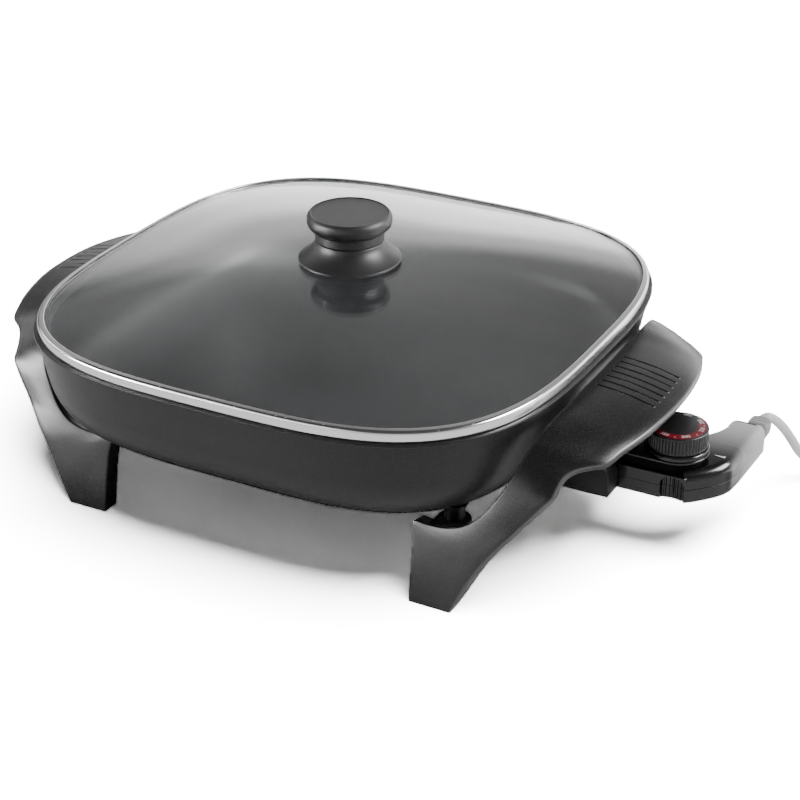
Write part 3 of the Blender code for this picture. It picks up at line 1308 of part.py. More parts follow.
def main():
    clear_scene()
    nonstick = finish("nonstick", (0.035, 0.036, 0.038), 0.42, 0.1)
    phenolic = finish("phenolic", (0.022, 0.022, 0.023), 0.48)
    knob_black = finish("knob_black", (0.012, 0.012, 0.012), 0.5)
    gloss_black = finish("gloss_black", (0.010, 0.010, 0.011), 0.18)
    steel = finish("stainless_band", (0.72, 0.72, 0.72), 0.16, 1.0)
    zinc = finish("zinc_plate", (0.55, 0.55, 0.56), 0.35, 1.0)
    brass = finish("brass", (0.72, 0.53, 0.25), 0.3, 1.0)
    ceramic = finish("ceramic", (0.82, 0.80, 0.76), 0.55)
    silicone = finish("silicone", (0.05, 0.05, 0.05), 0.7)
    glass = finish("lid_glass", (0.9, 0.95, 0.93), 0.02)
    dial_print = finish("dial_print", (0.10, 0.010, 0.015), 0.4)
    cord_jacket = finish("cord_jacket", (0.02, 0.02, 0.02), 0.55)

    probe_reach = ARM_FAR_X
    grip_reach = grip_inner_x() + GRIP_DEPTH
    assembly = pivot("skillet", ((grip_reach - probe_reach) / 2, 0, 0))
    base = pivot("base_body", (0, 0, 0), assembly)
    lid = pivot("lid_body", (0, 0, 0), assembly)
    probe = pivot("probe_body", (0, 0, 0), assembly)
    dial = pivot("dial_body", (DIAL_X, 0, PLATFORM_TOP_Z), probe)

    make_pan(base, nonstick)
    make_element(base, zinc, steel, ceramic)
    make_handle("handle_left", -1, base, phenolic)
    make_handle("handle_right", 1, base, phenolic)
    make_fasteners(base, zinc)
    make_guard(base, phenolic)
    make_lid(lid, glass, steel)
    make_knob(lid, knob_black, silicone, zinc)
    make_probe_housing(probe, gloss_black, zinc)
    make_probe_inside(probe, zinc, brass)
    make_dial(probe, dial, gloss_black, dial_print, zinc)
    make_strain_relief(probe, silicone)
    make_cord(probe, cord_jacket, brass)


main()
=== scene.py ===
import json

import bpy
import numpy as np
from mathutils import Matrix, Vector


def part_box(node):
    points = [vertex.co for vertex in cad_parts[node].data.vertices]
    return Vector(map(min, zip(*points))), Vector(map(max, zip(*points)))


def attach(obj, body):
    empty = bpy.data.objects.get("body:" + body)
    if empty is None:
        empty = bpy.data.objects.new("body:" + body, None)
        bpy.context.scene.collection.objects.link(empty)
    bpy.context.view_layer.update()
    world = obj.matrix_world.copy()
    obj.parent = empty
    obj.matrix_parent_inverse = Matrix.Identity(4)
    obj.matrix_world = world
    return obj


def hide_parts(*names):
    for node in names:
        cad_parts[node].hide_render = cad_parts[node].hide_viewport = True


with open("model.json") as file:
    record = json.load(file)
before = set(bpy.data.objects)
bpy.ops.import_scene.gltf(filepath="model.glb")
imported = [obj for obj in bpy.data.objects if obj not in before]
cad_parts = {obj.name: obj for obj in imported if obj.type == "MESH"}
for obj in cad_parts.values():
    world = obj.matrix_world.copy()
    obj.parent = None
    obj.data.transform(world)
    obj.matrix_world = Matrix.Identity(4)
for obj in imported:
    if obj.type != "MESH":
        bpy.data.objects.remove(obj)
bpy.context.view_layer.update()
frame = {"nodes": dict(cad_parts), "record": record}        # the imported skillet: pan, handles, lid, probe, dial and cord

mm = 0.001
panLow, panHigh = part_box("skillet_pan")
middleX = (panLow[0] + panHigh[0]) / 2 / mm    # every size below is in millimetres from the pan's middle


# Meshes from grids

def unit(vectors):
    # each vector divided by its own length
    return vectors / np.maximum(np.linalg.norm(vectors, axis=-1, keepdims=True), 1e-12)


def along(points):
    # running length of a line of points, from 0
    steps = np.linalg.norm(np.diff(points, axis=0), axis=1)
    return np.concatenate([[0], np.cumsum(steps)])


def evenly(points, count):
    # the same line again, in this many evenly spaced points
    run = along(points)
    wanted = np.linspace(0, run[-1], count)
    return np.stack([np.interp(wanted, run, points[:, k]) for k in range(points.shape[1])], 1)


def smoothStep(low, high, x):
    # 0 below low, 1 above high, and 3t^2 - 2t^3 between them
    t = np.clip((x - low) / (high - low), 0, 1)
    return t * t * (3 - 2 * t)


def filleted(corners, radii, steps=6, closed=False):
    # a line through the corners, where each corner is a circular arc of its radius
    corners = np.array(corners, float)
    count = len(corners)
    line = []
    for k in range(count):
        point = corners[k]
        if radii[k] == 0 or (not closed and k in (0, count - 1)):
            line.append(point[None])
            continue
        back = unit(corners[k - 1] - point)
        ahead = unit(corners[(k + 1) % count] - point)
        half = np.arccos(np.clip(back @ ahead, -1, 1)) / 2
        centre = point + unit(back + ahead) * radii[k] / np.sin(half)
        first = point + back * radii[k] / np.tan(half)
        last = point + ahead * radii[k] / np.tan(half)
        turn = np.linspace(0, 1, steps + 1)[:, None] * (np.pi - 2 * half)
        side = unit(last - centre - ((last - centre) @ unit(first - centre)) * unit(first - centre))
        line.append(centre + radii[k] * (np.cos(turn) * unit(first - centre) + np.sin(turn) * side))
    return np.vstack(line)


def bezier(start, pull, end, count):
    # (1-t)^2 start + 2t(1-t) pull + t^2 end
    t = np.linspace(0, 1, count)[:, None]
    return (1 - t) ** 2 * np.array(start) + 2 * t * (1 - t) * np.array(pull) + t * t * np.array(end)


def throughPoints(points, per=12):
    # Catmull-Rom: b + ((c-a)t + (2a-5b+4c-d)t^2 + (3b-a-3c+d)t^3) / 2 from each point b to the next, c
    p = np.array(points, float)
    p = np.concatenate([[2 * p[0] - p[1]], p, [2 * p[-1] - p[-2]]])
    t = np.linspace(0, 1, per, endpoint=False).reshape(-1, *([1] * (p.ndim - 1)))
    parts = []
    for a, b, c, d in zip(p, p[1:], p[2:], p[3:]):
        bend = (2 * a - 5 * b + 4 * c - d) * t**2 + (3 * b - a - 3 * c + d) * t**3
        parts.append(b + ((c - a) * t + bend) / 2)
    return np.concatenate([*parts, p[-2:-1]])


def smoothAt(knots, values, wanted):
    # cubic Hermite through the values; a slope is (d1 s0 + d0 s1) / (d0 + d1) of the stretches at both sides
    gaps = np.diff(knots)
    slopes = np.diff(values, axis=0) / gaps[:, None]
    middle = (gaps[1:, None] * slopes[:-1] + gaps[:-1, None] * slopes[1:]) / (gaps[1:] + gaps[:-1])[:, None]
    slopes = np.vstack([slopes[:1], middle, slopes[-1:]])
    k = np.clip(np.searchsorted(knots, wanted, side="right") - 1, 0, len(gaps) - 1)
    h = gaps[k][:, None]
    t = ((wanted - knots[k]) / gaps[k])[:, None]
    start = (1 + 2 * t) * (1 - t) ** 2 * values[k] + t * (1 - t) ** 2 * h * slopes[k]
    return start + t * t * (3 - 2 * t) * values[k + 1] + t * t * (t - 1) * h * slopes[k + 1]


def braced(line, gap=0.35):
    # the same line with a point close to both ends of each long stretch, so that flat faces shade flat
    made = [line[:1]]
    for a, b in zip(line, line[1:]):
        length = np.linalg.norm(b - a)
        if length > 5 * gap:
            made.append([a + (b - a) * gap / length, b - (b - a) * gap / length])
        made.append([b])
    return np.vstack(made)


def inset(points, distance):
    # a closed counterclockwise outline moved inwards, with mitred corners
    before = unit(points - np.roll(points, 1, 0))
    after = unit(np.roll(points, -1, 0) - points)
    normal = unit(np.stack([-before[:, 1] - after[:, 1], before[:, 0] + after[:, 0]], 1))
    cosine = -normal[:, 0] * before[:, 1] + normal[:, 1] * before[:, 0]
    return points + normal * (distance / np.maximum(cosine, 0.3))[:, None]


def gridPiece(name, grid, body, material, replaced=(), closed=False, sharp=50, caps="fan", marks=None):
    # rows x columns of points; columns join round, and both ends are closed by fans or by one flat face each
    grid = np.array(grid, float)
    startPole, endPole = grid[0].mean(0), grid[-1].mean(0)
    if not closed and caps == "fan":
        spread = np.ptp(grid, axis=1).max(axis=1)
        grid = grid[1:] if spread[0] < 1e-6 else grid
        grid = grid[:-1] if spread[-1] < 1e-6 else grid
    rows, columns = grid.shape[:2]
    index = np.arange(rows * columns).reshape(rows, columns)
    low = index if closed else index[:-1]
    high = np.roll(index, -1, axis=0) if closed else index[1:]
    quads = np.stack([low, np.roll(low, -1, 1), np.roll(high, -1, 1), high], -1).reshape(-1, 4)
    points = np.vstack([grid.reshape(-1, 3), startPole, endPole])
    start = np.stack([np.full(columns, rows * columns), np.roll(index[0], -1), index[0]], 1)
    end = np.stack([np.full(columns, rows * columns + 1), index[-1], np.roll(index[-1], -1)], 1)
    fans = np.zeros((0, 3), int) if closed else np.vstack([start, end])
    triangles = np.vstack([quads[:, :3], quads[:, [0, 2, 3]], fans])
    a, b, c = (points[triangles[:, k]] for k in range(3))
    # the sum of a . (b x c) is six times the volume; below zero, the faces point inwards
    inward = np.einsum("ij,ij->i", a, np.cross(b, c)).sum() < 0
    flip = -1 if inward else 1
    ends = [] if closed else fans[:, ::flip].tolist()
    if closed or caps == "face":
        points = points[:-2]
        ends = [] if closed else [index[0, ::-flip].tolist(), index[-1, ::flip].tolist()]
    mesh = bpy.data.meshes.new(name)
    mesh.from_pydata((points + [middleX, 0, 0]) * mm, [], quads[:, ::flip].tolist() + ends)
    addUv(mesh, grid, quads[:, ::flip], len(points))
    for label, values in (marks or {}).items():
        values = np.append(values.reshape(-1), [0] * (len(points) - values.size))
        mesh.attributes.new(label, "FLOAT", "POINT").data.foreach_set("value", values.astype(np.float32))
    return settle(name, mesh, body, material, replaced, sharp)


def addUv(mesh, grid, quads, count):
    # u runs round a row and v along a column, both as real lengths in metres
    rows, columns = grid.shape[:2]
    u = np.concatenate([[0], np.cumsum(np.linalg.norm(np.diff(grid.mean(0), axis=0), axis=1))]) * mm
    v = along(grid[:, 0]) * mm
    pairs = np.zeros((count, 2))
    pairs[: rows * columns] = np.stack(np.broadcast_arrays(u, v[:, None]), -1).reshape(-1, 2)
    corners = np.zeros(len(mesh.loops), int)
    mesh.loops.foreach_get("vertex_index", corners)
    values = pairs[corners]
    across = values[: quads.size, 0].reshape(-1, 4)
    seam = np.ptp(across, axis=1) > u.max() / 2
    across[seam] = np.where(across[seam] < u.max() / 2, across[seam] + u.max(), across[seam])
    values[: quads.size, 0] = across.reshape(-1)
    mesh.uv_layers.new(name="UVMap").uv.foreach_set("vector", values.astype(np.float32).reshape(-1))


def settle(name, mesh, body, material, replaced=(), sharp=50):
    # a finished piece: smooth, with its finish, riding on its body
    mesh.shade_smooth()
    mesh.set_sharp_from_angle(angle=np.radians(sharp))
    mesh.materials.append(material)
    piece = bpy.data.objects.new(name, mesh)
    bpy.context.scene.collection.objects.link(piece)
    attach(piece, body)
    if replaced:
        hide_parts(*replaced)
    return piece


def roundTurn(columns):
    # the angles of so many columns, once round
    return np.arange(columns) * 2 * np.pi / columns


def squaredReach(turn, n):
    # how far |x|^n + |y|^n = 1 lies from its middle at each angle: (|cos a|^n + |sin a|^n)^(-1/n)
    return (np.abs(np.cos(turn)) ** n + np.abs(np.sin(turn)) ** n) ** (-1 / n)


def squaredGrid(profile, power, columns):
    # a profile of half-width and height carried round |x|^n + |y|^n = half^n
    turn = roundTurn(columns)
    reach = squaredReach(turn, np.broadcast_to(power, len(profile))[:, None])
    half, z = profile[:, 0:1], profile[:, 1:2]
    return np.stack([half * reach * np.cos(turn), half * reach * np.sin(turn), z + 0 * turn], -1)


def turnedPiece(name, profile, centre, body, material, replaced=(), steps=128, closed=False, sharp=50):
    # a profile of radius and height turned about Z: x = r cos a, y = r sin a
    turn = roundTurn(steps)
    r, z = profile[:, 0:1], profile[:, 1:2]
    grid = np.stack([r * np.cos(turn), r * np.sin(turn), z + 0 * turn], -1) + centre
    return gridPiece(name, grid, body, material, replaced, closed=closed, sharp=sharp)


def tubeGrid(path, radius, sides):
    # circles square to a path, carried along it without twisting
    ahead = unit(np.gradient(path, axis=0))
    side = np.zeros_like(path)
    side[0] = unit(np.cross(ahead[0], [0.1, 0.2, 1.0]))
    for k in range(1, len(path)):
        carried = side[k - 1] - ahead[k] * (side[k - 1] @ ahead[k])
        side[k] = carried / np.linalg.norm(carried)
    up = np.cross(ahead, side)
    turn = roundTurn(sides)
    radius = np.broadcast_to(radius, len(path))[:, None, None]
    ring = np.cos(turn)[None, :, None] * side[:, None] + np.sin(turn)[None, :, None] * up[:, None]
    return path[:, None] + radius * ring


# Camera

camera = {
    "azimuth": 27.881,
    "elevation": 27.730,
    "distance": 1128.1,
    "right": 27.33,
    "up": 36.68,
    "lens": 87.82,
}


def makeCamera():
    # stands at azimuth and elevation about the pan's middle, and is then moved to the right and up
    turn, tilt = np.radians([camera["azimuth"], camera["elevation"]])
    right = Vector((np.cos(turn), np.sin(turn), 0))
    back = Vector((np.sin(turn) * np.cos(tilt), -np.cos(turn) * np.cos(tilt), np.sin(tilt)))
    up = back.cross(right)
    data = bpy.data.cameras.new("camera")
    data.lens = camera["lens"]
    data.sensor_width = 36
    data.clip_start = 0.05
    data.clip_end = 50
    made = bpy.data.objects.new("camera", data)
    bpy.context.scene.collection.objects.link(made)
    place = back * camera["distance"] + right * camera["right"] + up * camera["up"] + Vector((middleX, 0, 0))
    made.matrix_world = Matrix.Translation(place * mm) @ Matrix((right, up, back)).transposed().to_4x4()
    bpy.context.scene.camera = made


makeCamera()
print("camera set")


# Shader groups: each puts out only values that change over the surface

def nodesOf(tree):
    # a tree's nodes and links
    return tree.nodes, tree.links


def newGroup(name, inputs, outputs):
    # an empty group with its named inputs, each with a start value, and its named outputs
    group = bpy.data.node_groups.new(name, "ShaderNodeTree")
    for label, kind, value in inputs:
        socket = group.interface.new_socket(label, in_out="INPUT", socket_type=kind)
        socket.default_value = value
    for label, kind in outputs:
        group.interface.new_socket(label, in_out="OUTPUT", socket_type=kind)
    nodes, links = nodesOf(group)
    return group, nodes, links, nodes.new("NodeGroupInput"), nodes.new("NodeGroupOutput")


def math(nodes, links, operation, a, b=None, c=None):
    # one Math node; numbers are set and sockets are linked
    node = nodes.new("ShaderNodeMath")
    node.operation = operation
    for k, value in enumerate((a, b, c)):
        if value is None:
            continue
        if isinstance(value, (int, float)):
            node.inputs[k].default_value = value
        else:
            links.new(value, node.inputs[k])
    return node.outputs[0]


def noise(nodes, links, place, scale, detail=2.0, rough=0.5):
    # Blender's noise on object coordinates, scale in cells a metre
    node = nodes.new("ShaderNodeTexNoise")
    links.new(place, node.inputs["Vector"])
    if isinstance(scale, (int, float)):
        node.inputs["Scale"].default_value = scale
    else:
        links.new(scale, node.inputs["Scale"])
    node.inputs["Detail"].default_value = detail
    node.inputs["Roughness"].default_value = rough
    return node.outputs[0]


def stepNode(nodes, links, value, low, high, first=0.0, last=1.0, kind="SMOOTHSTEP"):
    # first below low, last above high, and a smooth or a linear step between them
    node = nodes.new("ShaderNodeMapRange")
    node.interpolation_type = kind
    node.inputs["From Min"].default_value = low
    node.inputs["From Max"].default_value = high
    node.inputs["To Min"].default_value = first
    node.inputs["To Max"].default_value = last
    links.new(value, node.inputs["Value"])
    return node.outputs["Result"]


def mouldGrainGroup():
    # spark-eroded grain: fine noise for the pits, coarse noise for cloudy gloss
    floats = "NodeSocketFloat"
    group, nodes, links, into, out = newGroup(
        "mouldGrain",
        [("Grain", floats, 2600.0), ("Cloud", floats, 30.0),
         ("Gloss", floats, 0.45), ("Spread", floats, 0.12)],
        [("Height", floats), ("Roughness", floats), ("Speckle", floats)],
    )
    place = nodes.new("ShaderNodeTexCoord").outputs["Object"]
    fine = noise(nodes, links, place, into.outputs["Grain"], 3.0, 0.65)
    cloud = noise(nodes, links, place, into.outputs["Cloud"], 3.0, 0.5)
    both = math(nodes, links, "ADD", fine, math(nodes, links, "MULTIPLY", cloud, 0.6))
    centred = math(nodes, links, "SUBTRACT", both, 0.8)
    spread = math(nodes, links, "MULTIPLY", centred, into.outputs["Spread"])
    links.new(fine, out.inputs["Height"])
    links.new(math(nodes, links, "ADD", into.outputs["Gloss"], spread), out.inputs["Roughness"])
    links.new(stepNode(nodes, links, fine, 0.56, 0.74, kind="LINEAR"), out.inputs["Speckle"])
    return group


def brushedGroup():
    # long fine scratches: noise stretched along u of the piece's own map
    floats = "NodeSocketFloat"
    group, nodes, links, into, out = newGroup(
        "brushedSteel",
        [("Along", floats, 60.0), ("Across", floats, 5200.0),
         ("Gloss", floats, 0.16), ("Spread", floats, 0.1)],
        [("Height", floats), ("Roughness", floats)],
    )
    uv = nodes.new("ShaderNodeTexCoord").outputs["UV"]
    split = nodes.new("ShaderNodeSeparateXYZ")
    links.new(uv, split.inputs[0])
    merged = nodes.new("ShaderNodeCombineXYZ")
    links.new(math(nodes, links, "MULTIPLY", split.outputs["X"], into.outputs["Along"]), merged.inputs["X"])
    links.new(math(nodes, links, "MULTIPLY", split.outputs["Y"], into.outputs["Across"]), merged.inputs["Y"])
    lines = noise(nodes, links, merged.outputs[0], 1.0, 3.0, 0.6)
    smear = noise(nodes, links, nodes.new("ShaderNodeTexCoord").outputs["Object"], 45.0, 2.0)
    links.new(lines, out.inputs["Height"])
    scratched = math(nodes, links, "MULTIPLY", lines, 0.7)
    both = math(nodes, links, "ADD", scratched, math(nodes, links, "MULTIPLY", smear, 0.5))
    centred = math(nodes, links, "SUBTRACT", both, 0.6)
    spread = math(nodes, links, "MULTIPLY", centred, into.outputs["Spread"])
    links.new(math(nodes, links, "ADD", into.outputs["Gloss"], spread), out.inputs["Roughness"])
    return group


mouldGrain = mouldGrainGroup()
brushedSteel = brushedGroup()


# Materials

def newMaterial(name, color, roughness, metallic=0.0, specular=0.5, **others):
    # a material whose plain values are set on its Principled shader; the others are named after their sockets
    made = bpy.data.materials.new(name)
    made.use_nodes = True
    shader = made.node_tree.nodes["Principled BSDF"]
    shader.inputs["Base Color"].default_value = (*color, 1)
    shader.inputs["Roughness"].default_value = roughness
    shader.inputs["Metallic"].default_value = metallic
    shader.inputs["Specular IOR Level"].default_value = specular
    for label, value in others.items():
        shader.inputs[label.replace("_", " ")].default_value = value
    return made, shader


def addGroup(made, group, values):
    # places a shader group in a material, with the values of its own
    node = made.node_tree.nodes.new("ShaderNodeGroup")
    node.node_tree = group
    for label, value in values.items():
        node.inputs[label].default_value = value
    return node


def addBump(made, shader, height, distance, strength=1.0):
    # a bump from a height between 0 and 1, its depth in millimetres
    nodes, links = nodesOf(made.node_tree)
    bump = nodes.new("ShaderNodeBump")
    bump.inputs["Strength"].default_value = strength
    bump.inputs["Distance"].default_value = distance * mm
    links.new(height, bump.inputs["Height"])
    links.new(bump.outputs["Normal"], shader.inputs["Normal"])


def mixColors(made, factor, first, second):
    # the first colour where the factor is 0 and the second where it is 1; each is a colour or a socket
    nodes, links = nodesOf(made.node_tree)
    mix = nodes.new("ShaderNodeMix")
    mix.data_type = "RGBA"
    links.new(factor, mix.inputs["Factor"])
    for label, color in (("A", first), ("B", second)):
        if isinstance(color, tuple):
            mix.inputs[label].default_value = (*color, 1)
        else:
            links.new(color, mix.inputs[label])
    return mix.outputs["Result"]


def mouldedMaterial(name, dark, light, gloss, spread, grain, depth, specular=0.5):
    # moulded plastic: two near shades over the speckle, grain in the bump and in the gloss
    made, shader = newMaterial(name, dark, gloss, specular=specular)
    links = made.node_tree.links
    grainNode = addGroup(made, mouldGrain, {"Grain": grain, "Gloss": gloss, "Spread": spread})
    links.new(grainNode.outputs["Roughness"], shader.inputs["Roughness"])
    links.new(mixColors(made, grainNode.outputs["Speckle"], dark, light), shader.inputs["Base Color"])
    addBump(made, shader, grainNode.outputs["Height"], depth)
    return made


# dark shade, light shade, roughness and its spread, grains a metre, depth of the grain in mm, specular level
moulded = {
    "phenolic": ("phenolicMoulding", (0.006, 0.006, 0.0065), (0.014, 0.014, 0.015),
                 0.42, 0.14, 2400.0, 0.030, 0.35),
    "knob": ("knobMoulding", (0.010, 0.010, 0.011), (0.030, 0.030, 0.030), 0.44, 0.16, 2200.0, 0.035),
    "gloss": ("glossMoulding", (0.008, 0.008, 0.009), (0.011, 0.011, 0.012), 0.16, 0.05, 900.0, 0.004),
    # painted shade: near black and all but unreflecting, for the shade in the recess under the dial's
    # platform
    "recess": ("recessShadeMoulding", (0.002, 0.002, 0.002), (0.003, 0.003, 0.003),
               0.6, 0.10, 900.0, 0.010, 0.05),
    "dial": ("dialMoulding", (0.009, 0.009, 0.010), (0.020, 0.020, 0.021), 0.34, 0.14, 2400.0, 0.020),
    "nonstick": ("nonstickCoating", (0.011, 0.011, 0.012), (0.034, 0.035, 0.037),
                 0.36, 0.10, 1500.0, 0.018, 0.30),
    # painted glow: the cord's and the strain relief's black rubber are made pale grey, standing in for a wash
    # of light
    "rubber": ("cordRubber", (0.80, 0.80, 0.805), (0.85, 0.85, 0.855), 0.48, 0.10, 1200.0, 0.010),
    "relief": ("reliefRubber", (0.54, 0.54, 0.545), (0.62, 0.62, 0.625), 0.45, 0.10, 1200.0, 0.010),
    "silicone": ("siliconeRubber", (0.03, 0.03, 0.03), (0.045, 0.045, 0.045), 0.6, 0.1, 900.0, 0.010),
    "ceramic": ("whiteCeramic", (0.70, 0.68, 0.63), (0.80, 0.78, 0.73), 0.55, 0.15, 1800.0, 0.020),
    "cast": ("castAluminium", (0.16, 0.16, 0.165), (0.24, 0.24, 0.245), 0.5, 0.2, 900.0, 0.06),
    "ink": ("whiteInk", (0.72, 0.71, 0.70), (0.80, 0.79, 0.78), 0.45, 0.1, 1500.0, 0.004),
    "grip": ("handleMoulding", (0.0070, 0.0070, 0.0075), (0.038, 0.038, 0.039),
             0.30, 0.16, 1500.0, 0.045),
    "housing": ("housingMoulding", (0.004, 0.004, 0.0045), (0.006, 0.006, 0.0065),
                0.20, 0.05, 900.0, 0.004),
}
finishes = {name: mouldedMaterial(*row) for name, row in moulded.items()}


def paintWhere(made, label, color, share=1.0):
    # mixes a colour in where the piece's own attribute is 1
    nodes, links = nodesOf(made.node_tree)
    skin = nodes["Principled BSDF"].inputs["Base Color"]
    read = nodes.new("ShaderNodeAttribute")
    read.attribute_name = label
    factor = math(nodes, links, "MULTIPLY", read.outputs["Fac"], share)
    links.new(mixColors(made, factor, skin.links[0].from_socket, color), skin)
    return read.outputs["Fac"]


# colours and shares of painted light and shade: painted shade in the grooves and between the relief's ribs, a
# painted highlight at each groove's end and along the handles' edges, and a painted glow that pales the probe
# towards the cord
paintedLight = {
    "groove": (0.001, 0.001, 0.001),
    "glint": (0.55, 0.55, 0.55),
    "rim": (0.14, 0.14, 0.14),
    "rimHighlightShare": 0.5,
    "ribs": (0.08, 0.08, 0.08),
    "ribShadeShare": 0.9,
    "pale": (0.56, 0.56, 0.565),
    "paleFrom": 4.0,
    "paleTo": 56.0,
    "paleRough": 0.30,
}


def paintGripShadeAndLight():
    # the handles' moulding: grooves darkened by painted shade and made matt, a painted highlight at the end
    # of each, and edges painted paler as a highlight
    made = finishes["grip"]
    nodes, links = nodesOf(made.node_tree)
    shader = nodes["Principled BSDF"]
    # painted shade: the grooves' colour is near black
    hollow = paintWhere(made, "groove", paintedLight["groove"])
    # painted highlight: a pale dot at the outer end of each groove
    paintWhere(made, "glint", paintedLight["glint"])
    # painted highlight: the edges are painted paler
    paintWhere(made, "rim", paintedLight["rim"], paintedLight["rimHighlightShare"])
    rough = shader.inputs["Roughness"].links[0].from_socket
    links.new(math(nodes, links, "MAXIMUM", rough, hollow), shader.inputs["Roughness"])
    matt = math(nodes, links, "MINIMUM", math(nodes, links, "MULTIPLY", hollow, 3.0), 1.0)
    links.new(math(nodes, links, "MULTIPLY_ADD", matt, -0.5, 0.5), shader.inputs["Specular IOR Level"])


def paintHousingGlow():
    # painted glow: the probe's gloss black is painted paler and grows duller with Y, towards the cord,
    # standing in for a wash of light
    made = finishes["housing"]
    nodes, links = nodesOf(made.node_tree)
    skin, rough = (nodes["Principled BSDF"].inputs[label] for label in ("Base Color", "Roughness"))
    split = nodes.new("ShaderNodeSeparateXYZ")
    links.new(nodes.new("ShaderNodeTexCoord").outputs["Object"], split.inputs[0])
    fade = stepNode(nodes, links, split.outputs["Y"], paintedLight["paleFrom"] * mm, paintedLight["paleTo"] * mm)
    links.new(mixColors(made, fade, skin.links[0].from_socket, paintedLight["pale"]), skin)
    links.new(math(nodes, links, "MULTIPLY_ADD", fade, paintedLight["paleRough"], rough.links[0].from_socket), rough)


def steelMaterial(name, color, gloss, spread, depth):
    # brushed sheet: scratches in the bump and in the gloss
    made, shader = newMaterial(name, color, gloss, metallic=1.0)
    links = made.node_tree.links
    group = addGroup(made, brushedSteel, {"Gloss": gloss, "Spread": spread})
    links.new(group.outputs["Roughness"], shader.inputs["Roughness"])
    addBump(made, shader, group.outputs["Height"], depth, 0.5)
    return made


def platedMaterial(name, color, other, gloss):
    # plated metal: patchy gloss and a slight tint that follow the cloudy noise
    made, shader = newMaterial(name, color, gloss, metallic=1.0)
    links = made.node_tree.links
    group = addGroup(made, mouldGrain, {"Grain": 1400.0, "Cloud": 160.0, "Gloss": gloss, "Spread": 0.3})
    links.new(group.outputs["Roughness"], shader.inputs["Roughness"])
    links.new(mixColors(made, group.outputs["Speckle"], color, other), shader.inputs["Base Color"])
    addBump(made, shader, group.outputs["Height"], 0.004)
    return made


finishes["incoloy"] = platedMaterial("sheathedElement", (0.22, 0.21, 0.20), (0.34, 0.31, 0.27), 0.42)
finishes["nickel"] = platedMaterial("nickelPlate", (0.66, 0.64, 0.60), (0.74, 0.73, 0.70), 0.24)
finishes["steel"] = steelMaterial("stainlessBand", (0.78, 0.78, 0.77), 0.17, 0.10, 0.003)
finishes["zinc"] = platedMaterial("zincPlate", (0.55, 0.56, 0.57), (0.68, 0.68, 0.66), 0.30)
finishes["brass"] = platedMaterial("springBrass", (0.78, 0.56, 0.24), (0.70, 0.47, 0.18), 0.26)


def glassMaterial():
    # clear glass, with faint wiped patches in its gloss
    made, shader = newMaterial("clearGlass", (0.97, 0.985, 0.98), 0.0, Transmission_Weight=1.0, IOR=1.46)
    nodes, links = nodesOf(made.node_tree)
    place = nodes.new("ShaderNodeTexCoord").outputs["Object"]
    wipe = noise(nodes, links, place, 22.0, 4.0, 0.6)
    links.new(stepNode(nodes, links, wipe, 0.45, 0.75, 0.0, 0.035, "LINEAR"), shader.inputs["Roughness"])
    return made


finishes["glass"] = glassMaterial()
paintGripShadeAndLight()
paintHousingGlow()
# painted shade: the hollows between the relief's ribs are painted darker
paintWhere(finishes["relief"], "groove", paintedLight["ribs"], paintedLight["ribShadeShare"])
print("materials made")


# Cord: one length from the strain relief to the plug

cord = {
    "diameter": 0.0054,
    "route": (
        (0.2206, 0.0664, 0.0526),
        (0.2208, 0.0706, 0.0523),
        (0.2230, 0.0768, 0.0486),
        (0.2256, 0.0848, 0.0412),
        (0.2290, 0.0916, 0.0318),
        (0.2336, 0.0990, 0.0196),
        (0.2402, 0.1062, 0.0098),
        (0.2498, 0.1132, 0.0046),
        (0.2630, 0.1216, 0.0031),
        (0.2815, 0.1320, 0.0030),
    ),
    "coilX": 300.0,
    "coilY": 100.0,
    "coilRadius": 36.9,
    "pitch": 6.2,
    "loopsALayer": 2,
    "pointsALoop": 96,
    "sides": 20,
}


def coilPath():
    # a flat spiral: radius falls by the pitch each turn, climbs a layer in half a turn, and grows again
    count = cord["pointsALoop"]
    layer = cord["loopsALayer"]
    turn = np.arange(int((2 * layer + 0.5) * count) + 1) / count
    inward = np.clip(turn, 0, layer + 0.25)
    outward = np.clip(turn - layer - 0.25, 0, layer + 0.25)
    radius = cord["coilRadius"] - cord["pitch"] * (inward - outward)
    end = np.array(cord["route"][-1]) / mm
    height = end[2] + cord["pitch"] * smoothStep(0, 1, (turn - layer) * 2)
    angle = np.arctan2(end[1] - cord["coilY"], end[0] - cord["coilX"]) - 2 * np.pi * turn
    x = cord["coilX"] + radius * np.cos(angle)
    y = cord["coilY"] + radius * np.sin(angle)
    return np.stack([x, y, height], 1)


# Plug, tie and blades

plug = {
    "width": 24.0,
    "height": 15.0,
    "length": 30.0,
    "neck": 12.0,
    "neckRadius": 4.2,
    "neckRings": 4,
    "ringDepth": 0.45,
    "waist": 1.6,
    "endRound": 1.6,
    "bladeLength": 16.0,
    "bladeWidth": 6.3,
    "bladeThick": 1.5,
    "bladeSpread": 12.7,
    "bladeRound": 0.3,
    # along the blade from its tip, and the shares of its height and thickness that are left
    "bladeTaper": ((1.6, 1, 1), (0.5, 0.92, 0.8), (0, 0.8, 0.45)),
}
tie = {
    "way": (-0.25, 1.0),
    "halfWidth": 4.2,
    "corner": 2.4,
    "sink": 0.5,
    "bulge": (0.12, 0.14),
}


def coilEnd():
    # where the coil ends and the way it points there
    coil = coilPath()
    leave = unit((coil[-1] - coil[-2]) * [1, 1, 0])
    return coil[-1] + leave * 0.3, leave


